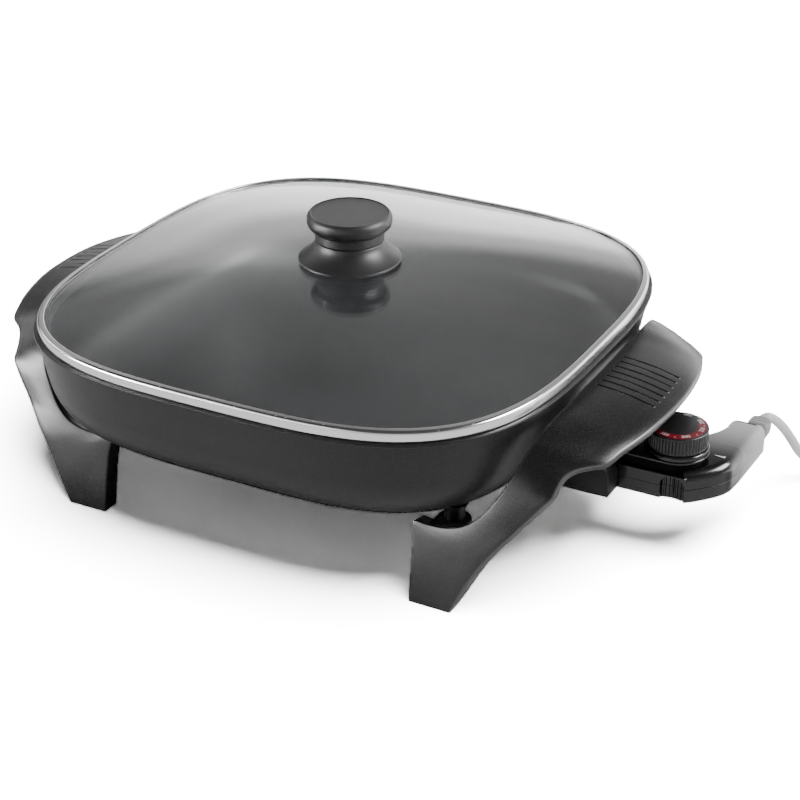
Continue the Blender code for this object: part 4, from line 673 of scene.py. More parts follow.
def makePlug():
    # squared sections along the cord's end: a ringed neck swells into the body, which has a waist
    root, ahead = coilEnd()
    aside, upright = np.array([-ahead[1], ahead[0], 0]), np.array([0, 0, 1.0])
    neck, slim = plug["neck"], plug["neckRadius"]
    run = np.concatenate([np.linspace(0, neck, 44), neck + plug["length"] * np.linspace(0.02, 1, 40)])
    body = smoothStep(neck - 1.5, neck + 7.0, run)
    wave = 0.5 - 0.5 * np.cos(2 * np.pi * run / neck * plug["neckRings"])
    rings = plug["ringDepth"] * smoothStep(0.2, 0.8, wave) * (run < neck - 0.5)
    waist = plug["waist"] * np.exp(-((run - neck - plug["length"] * 0.55) / 6.5) ** 2)
    last = np.clip((neck + plug["length"] - run) / plug["endRound"], 0, 1)
    rounding = plug["endRound"] * (1 - np.sqrt(np.maximum(0, 1 - (1 - last) ** 2)))
    wide = slim + (plug["width"] / 2 - slim) * body - rings - waist - rounding
    tall = slim + (plug["height"] / 2 - slim) * body - rings - rounding
    turn = roundTurn(72)
    reach = squaredReach(turn, (2 + 2.2 * body)[:, None])
    across = (wide[:, None] * reach * np.cos(turn))[..., None] * aside
    up = (tall[:, None] * reach * np.sin(turn))[..., None] * upright
    grid = root + run[:, None, None] * ahead + across + up
    gridPiece("plugBody", grid, "probe", finishes["rubber"], ("plug_body",), sharp=50)
    half, thick, soft = plug["bladeWidth"] / 2, plug["bladeThick"] / 2, plug["bladeRound"]
    stations = [(0.3, 1, 1)] + [(plug["bladeLength"] - back, *shares) for back, *shares in plug["bladeTaper"]]
    for label, side in (("left", 1), ("right", -1)):
        middle = side * plug["bladeSpread"] / 2
        section = filleted([(middle - thick, -half), (middle + thick, -half), (middle + thick, half),
                            (middle - thick, half)], (soft, soft, soft, soft), 3, closed=True)
        grid = []
        for far, tallness, thickness in stations:
            flat = (section - [middle, 0]) * [thickness, tallness] + [middle, 0]
            tip = root + (neck + plug["length"] + far) * ahead
            grid.append(tip + flat[:, :1] * aside + flat[:, 1:] * upright)
        gridPiece("plugBlade" + label.capitalize(), np.array(grid), "probe", finishes["brass"],
                  ("plug_blade_" + label,), sharp=35, caps="face")
    print("plug made")


def makeTie():
    # a strap round the turns of the coil, opposite the side where the cord comes in
    centre = np.array([cord["coilX"], cord["coilY"]])
    way = unit(np.array(tie["way"]))
    near = [p for p in coilPath() if unit(p[:2] - centre) @ way > 0.995]
    far = np.array([(np.hypot(*(p[:2] - centre)), p[2]) for p in near])
    thick = cord["diameter"] / mm / 2
    low, high = far.min(0) - thick - 0.1, far.max(0) + thick + 0.1
    low[1] = max(low[1], 0.05)
    section = filleted([(low[0], low[1]), (high[0], low[1]), (high[0], high[1]), (low[0], high[1])],
                       (tie["corner"],) * 4, 6, closed=True)
    wide, sink, (bulge, most) = tie["halfWidth"], tie["sink"], tie["bulge"]
    normal = np.array([-way[1], way[0]])
    grid = []
    for aside, gap in (
        (-wide, -sink), (-wide, 0), (-wide / 2, bulge), (0, most),
        (wide / 2, bulge), (wide, 0), (wide, -sink), (0, -sink),
    ):
        line = inset(section, -gap) if gap else section
        plan = centre + line[:, :1] * way + normal * aside
        grid.append(np.column_stack([plan, np.maximum(line[:, 1], 0.03)]))
    gridPiece("coilTie", np.array(grid), "probe", finishes["silicone"], sharp=50, closed=True)
    print("tie made")


def makeCord():
    # the free part runs through the route's points, and then the coil begins
    free = throughPoints(np.array(cord["route"]) / mm)
    coil = coilPath()
    thick = cord["diameter"] / mm
    arrive = unit(coil[0] - coil[1])
    leave = unit((coil[-1] - coil[-2]) * [1, 1, 0])
    free = np.vstack([free[:-8], coil[0] + arrive * thick])
    path = np.vstack([evenly(free, 90), coil, coil[-1] + leave * 2 * thick])
    path = np.vstack([path[:1], path[1:][np.linalg.norm(np.diff(path, axis=0), axis=1) > 0.2]])
    grid = tubeGrid(path, thick / 2, cord["sides"])
    piece = gridPiece("cordJacket", grid, "probe", finishes["rubber"],
                      ("power_cord", "cord_coil"), sharp=80)
    onCord = ["plugBody", "plugBladeLeft", "plugBladeRight", "coilTie"]
    for name in ["cordJacket", *onCord]:
        bpy.data.objects[name].visible_glossy = False      # keeps the coil out of the reflections


makePlug()
makeTie()
makeCord()


# Pan: one cast bowl with a rounded shoulder, a flared wall, a lip and a ledge for the lid

pan = {
    "base": (109.0, 49.0),
    "shoulder": (145.5, 80.2),
    "wallTop": (150.8, 104.2),
    "rim": (151.8, 105.8),
    "lip": 1.3,
    "floor": 4.0,
    "wall": 3.2,
    "rimWidth": 3.1,
    "ledgeDrop": 2.8,
    "ledgeWidth": 5.0,
    "squareness": (3.65, 3.28),
    "columns": 320,
    "outerReach": 24.5,
    "innerReach": 24.0,
    "wallPull": 0.754,
    # radii of the wall's corners, from the shoulder up, over the rim and down to the ledge
    "rounds": (0, 0.5, 0.25, 0.55, 0.5, 0.4, 1.1, 0),
}


def shoulderCurve(start, end, slope, reach, count=30):
    # (1-t)^3 a + 3(1-t)^2 t b + 3(1-t) t^2 c + t^3 d, level at its start and along the wall at its end
    a, d = np.array(start), np.array(end)
    b = a + [reach, 0]
    c = d - pan["wallPull"] * reach * unit(np.array(slope))
    t = np.linspace(0, 1, count)[:, None]
    return (1 - t) ** 3 * a + 3 * (1 - t) ** 2 * t * b + 3 * (1 - t) * t * t * c + t**3 * d


def panProfile():
    # half-width and height from the middle of the underside out, up over the rim, and in again to the floor
    base, shoulder, top, rim = (np.array(pan[key]) for key in ("base", "shoulder", "wallTop", "rim"))
    outer = shoulderCurve(base - [3, 0], shoulder, top - shoulder, pan["outerReach"])
    rimInner = rim[0] - pan["rimWidth"]
    ledge = rim[1] - pan["ledgeDrop"]
    corners = [shoulder, top, (rim[0], rim[1] - pan["lip"]), rim, (rimInner, rim[1]), (rimInner, ledge),
               (rimInner - pan["ledgeWidth"], ledge), shoulder - [pan["wall"] + 0.4, 0]]
    upper = braced(filleted(corners, pan["rounds"]))
    inner = shoulderCurve(base + [-7, pan["floor"]], corners[-1], corners[-2] - corners[-1],
                          pan["innerReach"])
    middle = [(0, base[1]), (60, base[1]), (base[0] - 12, base[1])]
    floor = [(base[0] - 16, inner[0][1]), (60, inner[0][1]), (0, inner[0][1])]
    return np.vstack([middle, outer, upper[1:-1], inner[::-1], floor])


def panPower(z):
    # the squareness n at a height, in a straight line from the base's to the rim's
    low, high = pan["base"][1], pan["rim"][1]
    share = np.clip((z - low) / (high - low), 0, 1)
    return pan["squareness"][0] + (pan["squareness"][1] - pan["squareness"][0]) * share


def makePan():
    # the profile carried round |x|^n + |y|^n = half^n
    profile = panProfile()
    grid = squaredGrid(profile, panPower(profile[:, 1]), pan["columns"])
    gridPiece("panBowl", grid, "base", finishes["nonstick"], ("skillet_pan",), sharp=40)
    print("pan made")


# Lid: a domed pane in a folded steel band

lid = {
    "half": 150.0,
    "glassHalf": 148.6,
    "glassEdgeTop": 110.8,
    "glassThick": 3.3,
    "rise": 18.1,
    "power": 2.3,
    "hole": 2.4,
    "bandLow": 106.05,
    "bandHigh": 111.8,
    "sheet": 0.7,
    "fold": 3.4,
    "skirtInset": 2.2,
    "skirtLow": 103.3,
    "paneColumns": 288,
    "bandColumns": 384,
    # radii of the band's corners, from its lower edge in, up, over and out
    "bandRounds": (0.55, 0.2, 0.3, 0.3, 0.3, 0.3, 0.5, 0.25, 0.3, 1.7),
}


def glassTop(radius):
    # edge height + rise (1 - share^2.3)
    share = np.clip(radius / lid["glassHalf"], 0, 1)
    return lid["glassEdgeTop"] + lid["rise"] * (1 - share ** lid["power"])


def makeGlass():
    # the dome's two skins joined by a half-round edge; round at the hole, squared like the pan at the edge
    radii = lid["glassHalf"] - (lid["glassHalf"] - lid["hole"]) * np.linspace(0, 1, 72) ** 1.15
    top = np.stack([radii, glassTop(radii)], 1)
    under = np.stack([radii[::-1], glassTop(radii[::-1]) - lid["glassThick"]], 1)
    half = lid["glassThick"] / 2
    bend = np.linspace(-np.pi / 2, np.pi / 2, 9)[1:-1]
    edge = np.stack([lid["glassHalf"] - half * (1 - np.cos(bend)), top[0, 1] - half + half * np.sin(bend)], 1)
    top[0, 0] = under[-1, 0] = lid["glassHalf"] - half
    profile = np.vstack([top[1:], under[:-1], edge])
    share = np.clip(profile[:, 0] / lid["glassHalf"] * 2, 0, 1)
    power = 2 + (pan["squareness"][1] - 2) * smoothStep(0, 1, share)
    grid = squaredGrid(profile, power, lid["paneColumns"])
    pane = gridPiece("lidPane", grid, "lid", finishes["glass"], ("lid_glass",), closed=True,
                     sharp=40)
    pane.visible_shadow = False      # lets the key through to the pan's inside


def makeBand():
    # a folded sheet: a skirt inside the rim's ledge, a step out under the glass, and a fold over its edge
    half, sheet, low, high = lid["half"], lid["sheet"], lid["bandLow"], lid["bandHigh"]
    foldInner = half - lid["fold"]
    lip = glassTop(foldInner) + 0.3
    skirt = half - lid["skirtInset"]
    slot = lid["glassEdgeTop"] - lid["glassThick"] - 0.3
    corners = [
        (half, low), (skirt, low), (skirt, lid["skirtLow"]), (skirt - sheet, lid["skirtLow"]),
        (skirt - sheet, slot), (half - sheet, slot), (half - sheet, high - sheet), (foldInner, lip),
        (foldInner, lip + sheet), (half - 0.2, high),
    ]
    profile = braced(filleted(corners, lid["bandRounds"], 5, closed=True), 0.25)
    grid = squaredGrid(profile, pan["squareness"][1], lid["bandColumns"])
    gridPiece("lidBand", grid, "lid", finishes["steel"], ("lid_band",), closed=True,
              sharp=60)
    print("lid made")


# Knob: a flared base and a mushroom cap

knob = {
    "bottom": 129.2,
    "skirt": 28.3,
    "skirtEdge": 1.9,
    "baseHeight": 12.1,
    "neck": 18.9,
    "capTop": 156.5,
    "hole": 2.1,
    "bore": 7.0,
    "wall": 2.2,
    # radius and depth below the top, down the side of the cap
    "capSide": ((21.9, 0.35), (22.8, 1.5), (23.35, 3.3), (23.3, 5.3), (22.5, 7.3), (21.0, 8.9), (19.25, 9.9)),
}


def makeKnob():
    # turned profiles: the flare's radius grows with the 1.8th power of the way down
    low, bore, wall = knob["bottom"], knob["bore"], knob["wall"]
    joint = low + knob["baseHeight"]
    share = np.linspace(0, 1, 28)
    flare = np.stack([knob["neck"] + (knob["skirt"] - 0.9 - knob["neck"]) * share**1.8,
                      joint - (knob["baseHeight"] - knob["skirtEdge"]) * share], 1)
    edge = filleted([flare[-1], (knob["skirt"], low + knob["skirtEdge"] - 0.5), (knob["skirt"], low),
                     (knob["skirt"] - wall, low)], (0, 0.7, 0.35, 0))
    inside = [(knob["skirt"] - wall, low + 1.9), (knob["neck"] - wall, joint - wall), (bore, joint - wall),
              (bore, low + 1.4), (knob["hole"], low + 1.4), (knob["hole"], joint - 0.2)]
    profile = np.vstack([[(knob["neck"] - 0.5, joint)], flare[1:], edge[1:], inside])
    turnedPiece("knobFlare", profile, (0, 0, 0), "lid", finishes["knob"], ("knob_base",), 160,
                True)
    top = knob["capTop"]
    side = throughPoints(knob["capSide"], 6) * [1, -1] + [0, top]
    crown = filleted([(0, top - 0.5), (20.9, top - 0.45), (21.5, top), (21.9, top - 0.35)], (0, 0.5, 0.2, 0))
    bottom = joint + 0.3
    neck = filleted([side[-1], (knob["neck"], side[-1][1] - 0.3), (knob["neck"], bottom),
                     (knob["hole"], bottom), (knob["hole"], bottom + 6)], (0, 0.3, 0.3, 0, 0))
    profile = np.vstack([crown, side[1:], neck[1:], [(0, bottom + 6)]])
    turnedPiece("knobCap", braced(profile), (0, 0, 0), "lid", finishes["knob"], ("knob_cap",),
                160)
    print("knob made")


# Handles: each is one strip from a front foot over the grip to a back foot, turned in at both edges

handle = {
    "footX": 94.4,
    "footWidth": 24.2,
    "footY": 111.7,
    "gripX": 150.43,
    "gripZ": 97.2,
    "gripDepth": 44.78,
    "droop": 8.2,
    "crown": 2.2,
    "skin": 2.6,
    "footFlange": 11.0,
    "edgeFlange": 3.2,
    "flangeThick": 2.4,
    "edgeRound": 1.0,
    "innerRound": 0.26,
    "grooves": 7,
    "pitch": 6.05,
    "grooveHalf": 0.5,
    "grooveDepth": 0.75,
    "grooveFrom": 0.114,
    "grooveTo": 0.830,
    "fineReach": 24.0,
    "fineStep": 0.22,
    "step": 1.5,
    # points on each of the section's eight sides, from the inner flange over the skin and back
    "between": (5, 76, 5, 1, 2, 16, 2, 1),
    # shares along the front half: inner edge X Y Z, outer edge X Y Z, tilt and depth of the flange, crown
    "rails": (
        (0.000, 0.999, 0.000, 0.000, 1.001, 0.000, 0.00, 1.00, 0.05),
        (-0.004, 0.990, 0.093, 0.026, 0.999, 0.049, 0.04, 1.00, 0.10),
        (-0.007, 0.975, 0.206, 0.056, 0.996, 0.101, 0.07, 1.00, 0.25),
        (-0.014, 0.948, 0.350, 0.099, 0.991, 0.178, 0.10, 1.00, 0.40),
        (-0.023, 0.927, 0.449, 0.145, 0.982, 0.253, 0.12, 0.95, 0.45),
        (0.100, 0.929, 0.450, 0.193, 0.971, 0.326, 0.13, 0.88, 0.45),
        (0.225, 0.932, 0.453, 0.243, 0.959, 0.393, 0.15, 0.80, 0.42),
        (0.350, 0.932, 0.466, 0.295, 0.943, 0.455, 0.17, 0.70, 0.40),
        (0.464, 0.928, 0.490, 0.346, 0.924, 0.511, 0.20, 0.60, 0.40),
        (0.564, 0.917, 0.530, 0.399, 0.902, 0.569, 0.24, 0.50, 0.40),
        (0.646, 0.902, 0.577, 0.452, 0.885, 0.627, 0.26, 0.42, 0.40),
        (0.705, 0.887, 0.626, 0.513, 0.867, 0.693, 0.28, 0.36, 0.40),
        (0.754, 0.874, 0.674, 0.560, 0.850, 0.746, 0.32, 0.30, 0.40),
        (0.807, 0.857, 0.733, 0.601, 0.827, 0.791, 0.38, 0.24, 0.40),
        (0.841, 0.840, 0.779, 0.610, 0.796, 0.833, 0.46, 0.18, 0.40),
        (0.870, 0.816, 0.821, 0.627, 0.756, 0.878, 0.54, 0.12, 0.45),
        (0.905, 0.773, 0.879, 0.672, 0.708, 0.906, 0.62, 0.08, 0.50),
        (0.946, 0.720, 0.940, 0.752, 0.660, 0.919, 0.70, 0.04, 0.60),
        (0.970, 0.653, 0.976, 0.816, 0.622, 0.922, 0.78, 0.00, 0.70),
        (0.986, 0.528, 0.998, 0.881, 0.513, 0.957, 0.90, 0.00, 0.85),
        (0.995, 0.376, 1.000, 0.939, 0.381, 0.978, 0.96, 0.00, 0.95),
        (0.998, 0.198, 1.000, 0.984, 0.203, 0.996, 1.00, 0.00, 1.00),
        (1.000, 0.000, 1.000, 1.000, 0.000, 1.000, 1.00, 0.00, 1.00),
    ),
    # the crown's rise over the shares of the way across
    "crownAt": (0.0, 0.12, 0.40, 0.72, 0.93, 1.0),
    "crownRise": (0.0, 0.42, 0.96, 0.90, 0.46, 0.0),
}


def handleRows():
    # inner edge, outer edge, inward direction, flange depth and crown at every row, in 11 columns
    table = np.array(handle["rails"])
    footOuter = handle["footX"] + handle["footWidth"]
    gripOuter = handle["gripX"] + handle["gripDepth"]
    turn = np.pi / 2 * table[:, 6]
    deep = handle["edgeFlange"] + (handle["footFlange"] - handle["edgeFlange"]) * table[:, 7]
    half = np.stack([
        handle["footX"] + (handle["gripX"] - handle["footX"]) * table[:, 0],
        -handle["footY"] * table[:, 1],
        handle["gripZ"] * table[:, 2],
        footOuter + (gripOuter - footOuter) * table[:, 3],
        -handle["footY"] * table[:, 4],
        (handle["gripZ"] - handle["droop"]) * table[:, 5],
        0 * turn, np.cos(turn), -np.sin(turn), deep, handle["crown"] * table[:, 8],
    ], 1)
    back = half[-2::-1] * [1, -1, 1, 1, -1, 1, 1, -1, 1, 1, 1]
    rows = np.vstack([half, back])
    run = along((rows[:, :3] + rows[:, 3:6]) / 2)
    middle, reach, total = run[-1] / 2, handle["fineReach"], run[-1]
    coarse = np.linspace(0, middle - reach, int((middle - reach) / handle["step"]))
    fine = np.arange(middle - reach, middle + reach, handle["fineStep"])
    wanted = np.concatenate([coarse[:-1], fine, total - coarse[::-1]])
    return smoothAt(run, rows, wanted)


def grooveMarks(y, share, width):
    # 1 less a smooth step of q, the distance to the nearest groove's line; then the dot at its outer end. The
    # first also masks the grooves' painted shade, the dot a painted highlight
    k = np.clip(np.round(y / handle["pitch"]), -(handle["grooves"] // 2), handle["grooves"] // 2)
    aside = y - k * handle["pitch"]
    past = np.maximum(0, np.maximum(handle["grooveFrom"] - share, share - handle["grooveTo"])) * width
    q = np.hypot(aside, past)
    dot = np.hypot(aside, (share - handle["grooveTo"]) * width)
    return 1 - smoothStep(0.3, 1.25, q / handle["grooveHalf"]), 1 - smoothStep(0.35, 0.62, dot)


def makeHandle(name, node, side):
    # a rounded section at every row: skin between the two edges, a flange down from each, and a crown
    rows = handleRows()
    inner, outer, inward = rows[:, :3], rows[:, 3:6], unit(rows[:, 6:9])
    deep, crown = rows[:, 9:10], rows[:, 10:11]
    width = np.linalg.norm(outer - inner, axis=1, keepdims=True)
    across = (outer - inner) / width
    thick = handle["flangeThick"]
    near, far = (
        across * np.minimum(thick / np.linalg.norm(np.cross(unit(np.gradient(edge, axis=0)), across), axis=1),
                            5.0)[:, None]
        for edge in (inner, outer)
    )
    skin = handle["skin"]
    corners = np.stack([
        inner + inward * deep, inner, outer, outer + inward * deep, outer + inward * deep - far,
        outer + inward * skin - far, inner + inward * skin + near, inner + inward * deep + near,
    ], 1)
    soft, tight = handle["edgeRound"], handle["innerRound"]
    radii = (0.5, soft, soft, 0.5, tight, tight, tight, tight)
    between = handle["between"]
    shares = np.linspace(0, 1, 201)
    rise = smoothAt(np.array(handle["crownAt"]), np.array(handle["crownRise"])[:, None], shares)
    sections, hollow, glint, edgeHighlight = [], [], [], []
    for k in range(len(rows)):
        arcs = filleted(corners[k], radii, 4, closed=True).reshape(8, -1, 3)
        line, top, rim = [], [], []
        for j in range(8):
            span = np.linspace(0, 1, between[j] + 2)[1:-1, None]
            line += [arcs[j], arcs[j, -1] + (arcs[(j + 1) % 8, 0] - arcs[j, -1]) * span]
            count = len(arcs[j]) + between[j]
            top.append(np.full(count, 1.0 if j in (1, 5) else 0.0))
            # weights of the painted edge highlight: a quarter on the inner edge's round, full on the outer
            # edge's round
            rim.append([(0.0, 0.25, 1.0)[j] if j < 3 else 0.0] * len(arcs[j]) + [0.0] * between[j])
        line, top = np.vstack(line), np.concatenate(top)
        share = np.clip((line - inner[k]) @ across[k] / width[k], 0, 1)
        lift = crown[k] * np.interp(share, shares, rise[:, 0])
        below = np.abs((line - inner[k] - (outer[k] - inner[k]) * share[:, None]) @ inward[k])
        edge = np.minimum(1, below / skin)
        line = line - inward[k] * (lift * np.maximum(top, 1 - edge))[:, None]
        skinSide = (top > 0) & (below < 0.5 * skin) & (np.arange(len(line)) < 100)
        marks, dots = grooveMarks(line[:, 1], share, width[k])
        marks, dots = marks * skinSide, dots * skinSide
        line = line + inward[k] * (handle["grooveDepth"] * marks)[:, None]
        sections.append(line)
        hollow.append(marks)
        glint.append(dots)
        edgeHighlight.append(np.concatenate(rim))
    grid = np.array(sections) * [side, 1, 1]
    gridPiece(name, grid, "base", finishes["grip"], (node,), sharp=40, caps="face",
              marks={"groove": np.array(hollow), "glint": np.array(glint), "rim": np.array(edgeHighlight)})


def makeHandles():
    # the left one is the right one mirrored in X
    makeHandle("rightHandle", "handle_right", 1)
    makeHandle("leftHandle", "handle_left", -1)
    print("handles made")


# Plates and lofts from plan outlines

def plateRings(outline, low, high, lowRound=0.3, highRound=0.3, steps=4):
    # an outline raised from low to high; each rim is a quarter circle: inset r(1 - sin a), up r(1 - cos a)
    rings = []
    turn = np.linspace(0, np.pi / 2, steps + 1)
    for a in turn:
        rings.append((lowRound * (1 - np.sin(a)), low + lowRound * (1 - np.cos(a))))
    for a in turn[::-1]:
        rings.append((highRound * (1 - np.sin(a)), high - highRound * (1 - np.cos(a))))
    return np.array([np.column_stack([inset(outline, gap), np.full(len(outline), z)]) for gap, z in rings])


def circle(x, y, radius, start=0, end=360, count=48):
    # x + r cos a, y + r sin a, with a in degrees
    a = np.radians(np.linspace(start, end, count, endpoint=(end - start) % 360 != 0))
    return np.stack([x + radius * np.cos(a), y + radius * np.sin(a)], 1)


def platePiece(name, outline, low, high, body, finish, replaced=(), lowRound=0.3, highRound=0.3):
    # a flat plate with rounded rims
    rings = plateRings(np.array(outline, float), low, high, lowRound, highRound)
    return gridPiece(name, rings, body, finishes[finish], replaced, sharp=40, caps="face")


# Probe: a straight nose with a finger scoop, a swept elbow and an arm that tapers to the cord

probe = {
    "noseX": 150.0,
    "half": 16.9,
    "elbow": (205.6, -16.9),
    "elbowPull": (222.0, -2.6),
    "armOuter": (223.3, 7.5),
    "armFar": 227.3,
    "armNear": 206.8,
    "armEnd": 52.4,
    "corner": 4.2,
    "innerStart": (205.96, 42.6),
    "innerPull": (204.2, 31.0),
    "noseBack": (184.0, 16.9),
    "bottom": 38.8,
    "bottomRound": 0.7,
    "armRise": 4.6,
    "slope": 0.039,
    "slopeFrom": 9.0,
    "parting": 46.6,
    "seam": 0.12,
    "deck": 53.6,
    "deckRound": 0.8,
    "top": 57.2,
    "topRound": 6.0,
    "topInset": 5.4,
    "scoopX": 199.0,
    "scoopHalf": 6.4,
    "scoopDepth": 2.6,
    "scoopArch": 48.0,
    "scoopTop": 52.8,
    "ribPitch": 2.15,
    "ribDepth": 0.75,
    # the line that closes the deck under the arm, out of sight: a step in from the elbow, and its end
    "deckStep": (0.9, 1.4),
    "deckEnd": (187.0, 16.4),
    "rows": 26,
}


def armPlan():
    # outer bend, far side, two round corners and inner bend, counterclockwise
    end, c = probe["armEnd"], probe["corner"]
    outer = bezier(probe["elbow"], probe["elbowPull"], probe["armOuter"], 60)
    far = filleted([probe["armOuter"], (probe["armFar"], end), (probe["armNear"], end), probe["innerStart"]],
                   (0, c, c, 0), 12)
    inner = bezier(probe["innerStart"], probe["innerPull"], probe["noseBack"], 40)
    return evenly(np.vstack([outer, far[1:-1], inner]), 260)


def straight(start, end, count):
    # a + (b - a) t, without the end itself
    share = np.linspace(0, 1, count, endpoint=False)[:, None]
    return np.array(start) + (np.array(end) - np.array(start)) * share


def nosePlan(backward):
    # the nose's front side, what closes it, and then its back side and tip
    half, tip = probe["half"], probe["noseX"]
    front = straight((tip, -half), probe["elbow"], 190)
    back = straight(probe["noseBack"], (tip, half), 40)
    return np.vstack([front, backward, back, straight((tip, half), (tip, -half), 40)])


def scoopIn(x, z):
    # depth sqrt(1 - q^2) inside an arch of half-width and rise, less a row of upright ribs
    across = (x - probe["scoopX"]) / probe["scoopHalf"]
    up = np.maximum(0, z - probe["scoopArch"]) / (probe["scoopTop"] - probe["scoopArch"])
    bowl = np.sqrt(np.maximum(0, 1 - across**2 - up**2))
    wave = 0.5 + 0.5 * np.cos(2 * np.pi * (x - probe["scoopX"]) / probe["ribPitch"])
    ribs = probe["ribDepth"] * smoothStep(0.35, 0.85, wave) * smoothStep(0.15, 0.5, bowl)
    return probe["scoopDepth"] * smoothStep(0, 0.45, bowl) * (0.55 + 0.45 * bowl) - ribs


def scooped(grid):
    # the scoop pushes in the front side of the nose alone
    front = (grid[..., 1] < 0.9 - probe["half"]) & (grid[..., 0] < probe["elbow"][0] - 0.05)
    depth = scoopIn(grid[..., 0], grid[..., 2]) * front
    grid[..., 1] += np.maximum(0, depth)
    return grid


def ringsUp(outline, heights, lowRound, highRound):
    # an outline at many heights, between a rounded lower and upper rim
    rings = plateRings(outline, heights[0], heights[-1], lowRound, highRound, 5)
    between = np.linspace(heights[0] + lowRound, heights[-1] - highRound, heights[1])[1:-1]
    middle = np.array([np.column_stack([outline, np.full(len(outline), z)]) for z in between])
    return np.concatenate([rings[:6], middle, rings[6:]])


def makeShell():
    # the lower half rises towards the cord, by a share that falls from its bottom to the parting line
    low, parting, seam, rows = (probe[key] for key in ("bottom", "parting", "seam", "rows"))
    plan = nosePlan(armPlan()[:-1])
    lower = scooped(ringsUp(plan, (low, rows, parting - seam / 2), probe["bottomRound"], seam))
    past = np.maximum(0, lower[..., 1] - probe["half"]) / (probe["armEnd"] - probe["half"])
    lower[..., 2] += probe["armRise"] * past * (1 - (lower[..., 2] - low) / (parting - low))
    gridPiece("probeShell", lower, "probe", finishes["housing"], ("probe_lower",), sharp=35,
              caps="face")
    elbow = np.array(probe["elbow"])
    turn = elbow + probe["deckStep"]
    hidden = np.vstack([straight(elbow, turn, 3), straight(turn, probe["deckEnd"], 30)])
    deck = ringsUp(nosePlan(hidden), (parting + seam / 2, rows, probe["deck"]), seam, probe["deckRound"])
    gridPiece("probeDeck", scooped(deck), "probe", finishes["housing"], ("probe_upper",),
              sharp=35, caps="face")


def makeArm():
    # the outline moved in by w (1 - cos a) at the height top - h (1 - sin a); the top tilts along Y
    arm = armPlan()
    parting, seam = probe["parting"], probe["seam"]
    ahead = unit(np.gradient(arm, axis=0))
    normal = np.stack([-ahead[:, 1], ahead[:, 0]], 1)
    across = unit(arm[-1] - arm[0])
    outward = np.array([-across[1], across[0]])
    rings = []
    wide, tall = probe["topInset"], probe["topRound"]
    levels = [(seam, parting + seam / 2), (0, parting + seam * 1.5)]
    levels += [(0, z) for z in np.linspace(parting + 0.6, probe["top"] - tall - 0.3, 10)]
    levels += [(wide * (1 - np.cos(a)), probe["top"] - tall * (1 - np.sin(a)))
               for a in np.linspace(0, np.pi / 2, 13)]
    for gap, z in levels:
        line = arm + normal * gap
        line[0] = arm[0] + across * gap / abs(np.cross(across, ahead[0]))
        line[-1] = arm[-1] - across * gap / abs(np.cross(across, ahead[-1]))
        past = np.maximum(0, (line - arm[0]) @ outward)
        line = np.vstack([line - past[:, None] * outward, straight(line[-1], line[0], 40)[1:]])
        share = (z - parting) / (probe["top"] - parting)
        tilt = probe["slope"] * (line[:, 1] - probe["slopeFrom"])
        rings.append(np.column_stack([line, z + share * tilt]))
    gridPiece("probeArm", np.array(rings), "probe", finishes["housing"], sharp=35, caps="face")
    print("probe body made")


# Dial: platform, bezel, ribbed dial and printed disc

dial = {
    "x": 194.4,
    "platformStart": 170.0,
    "platformHalf": 17.3,
    "platformNeck": 2.4,
    "platformTop": 61.3,
    "platformThick": 1.3,
    "bezelRadius": 17.1,
    "bezelHeight": 2.9,
    "radius": 16.1,
    "top": 74.3,
    "ribs": 54,
    "ribDepth": 0.5,
    "pointsARib": 14,
    "faceRadius": 15.0,
    "faceSink": 0.25,
}


def makeDial():
    # a turned bezel on a platform; the dial's radius falls by d (1 - |sin|^0.8) between its ribs
    x, top, wide = dial["x"], dial["platformTop"], dial["platformHalf"]
    for name, half, low, high, finish in (
        # the neck's finish is painted shade: near black, for its recess
        ("platformNeck", wide - dial["platformNeck"], probe["deck"] - 0.6, top - 0.7, "recess"),
        ("platform", wide, top - dial["platformThick"], top, "gloss"),
    ):
        plan = np.vstack([circle(x, 0, half, -90, 90, 90), [(dial["platformStart"], half)],
                          [(dial["platformStart"], -half)]])
        platePiece(name, plan, low, high, "probe", finish, (), 0.4, 0.55)
    radius, rise = dial["bezelRadius"], dial["bezelHeight"]
    profile = filleted([(4.0, 0.25), (radius, 0.25), (radius, rise), (radius - 2.4, rise),
                        (radius - 2.6, rise - 0.5), (4.0, rise - 0.5)], (0, 0.5, 1.25, 0.6, 0.2, 0), 8)
    turnedPiece("dialBezel", braced(profile), (x, 0, top), "probe", finishes["gloss"],
                ("dial_bezel",), 160, True)
    low = top + rise + 0.25
    high = dial["top"]
    turn = roundTurn(dial["ribs"] * dial["pointsARib"])
    flute = dial["ribDepth"] * (1 - np.abs(np.sin(turn * dial["ribs"] / 2)) ** 0.8)
    rows = [(0.3, low, 0), (0, low + 0.3, 0), (0, low + 0.8, 0), (0, low + 1.3, 1)]
    rows += [(0, z, 1) for z in np.linspace(low + 2, high - 1.6, 8)]
    rows += [(0, high - 1.3, 1), (0, high - 0.9, 0), (0, high - 0.5, 0), (0.15, high - 0.16, 0),
             (0.5, high, 0), (dial["radius"] - dial["faceRadius"] - 0.05, high, 0),
             (dial["radius"] - dial["faceRadius"], high - dial["faceSink"], 0)]
    grid = []
    for gap, z, ribbed in rows:
        r = dial["radius"] - gap - flute * ribbed
        grid.append(np.stack([x + r * np.cos(turn), r * np.sin(turn), 0 * turn + z], 1))
    gridPiece("dialGrip", np.array(grid), "dial", finishes["dial"], ("dial_knob",), sharp=50,
              caps="face")
    print("dial made")


# Strain relief: a ribbed block that tapers to the cord

relief = {
    "x": 220.6,
    "z": 52.6,
    "start": 52.0,
    "block": 9.0,
    "width": 12.0,
    "height": 9.8,
    "ribs": 4,
    "ribDepth": 1.3,
    "taper": 6.2,
    "endRadius": 3.5,
}


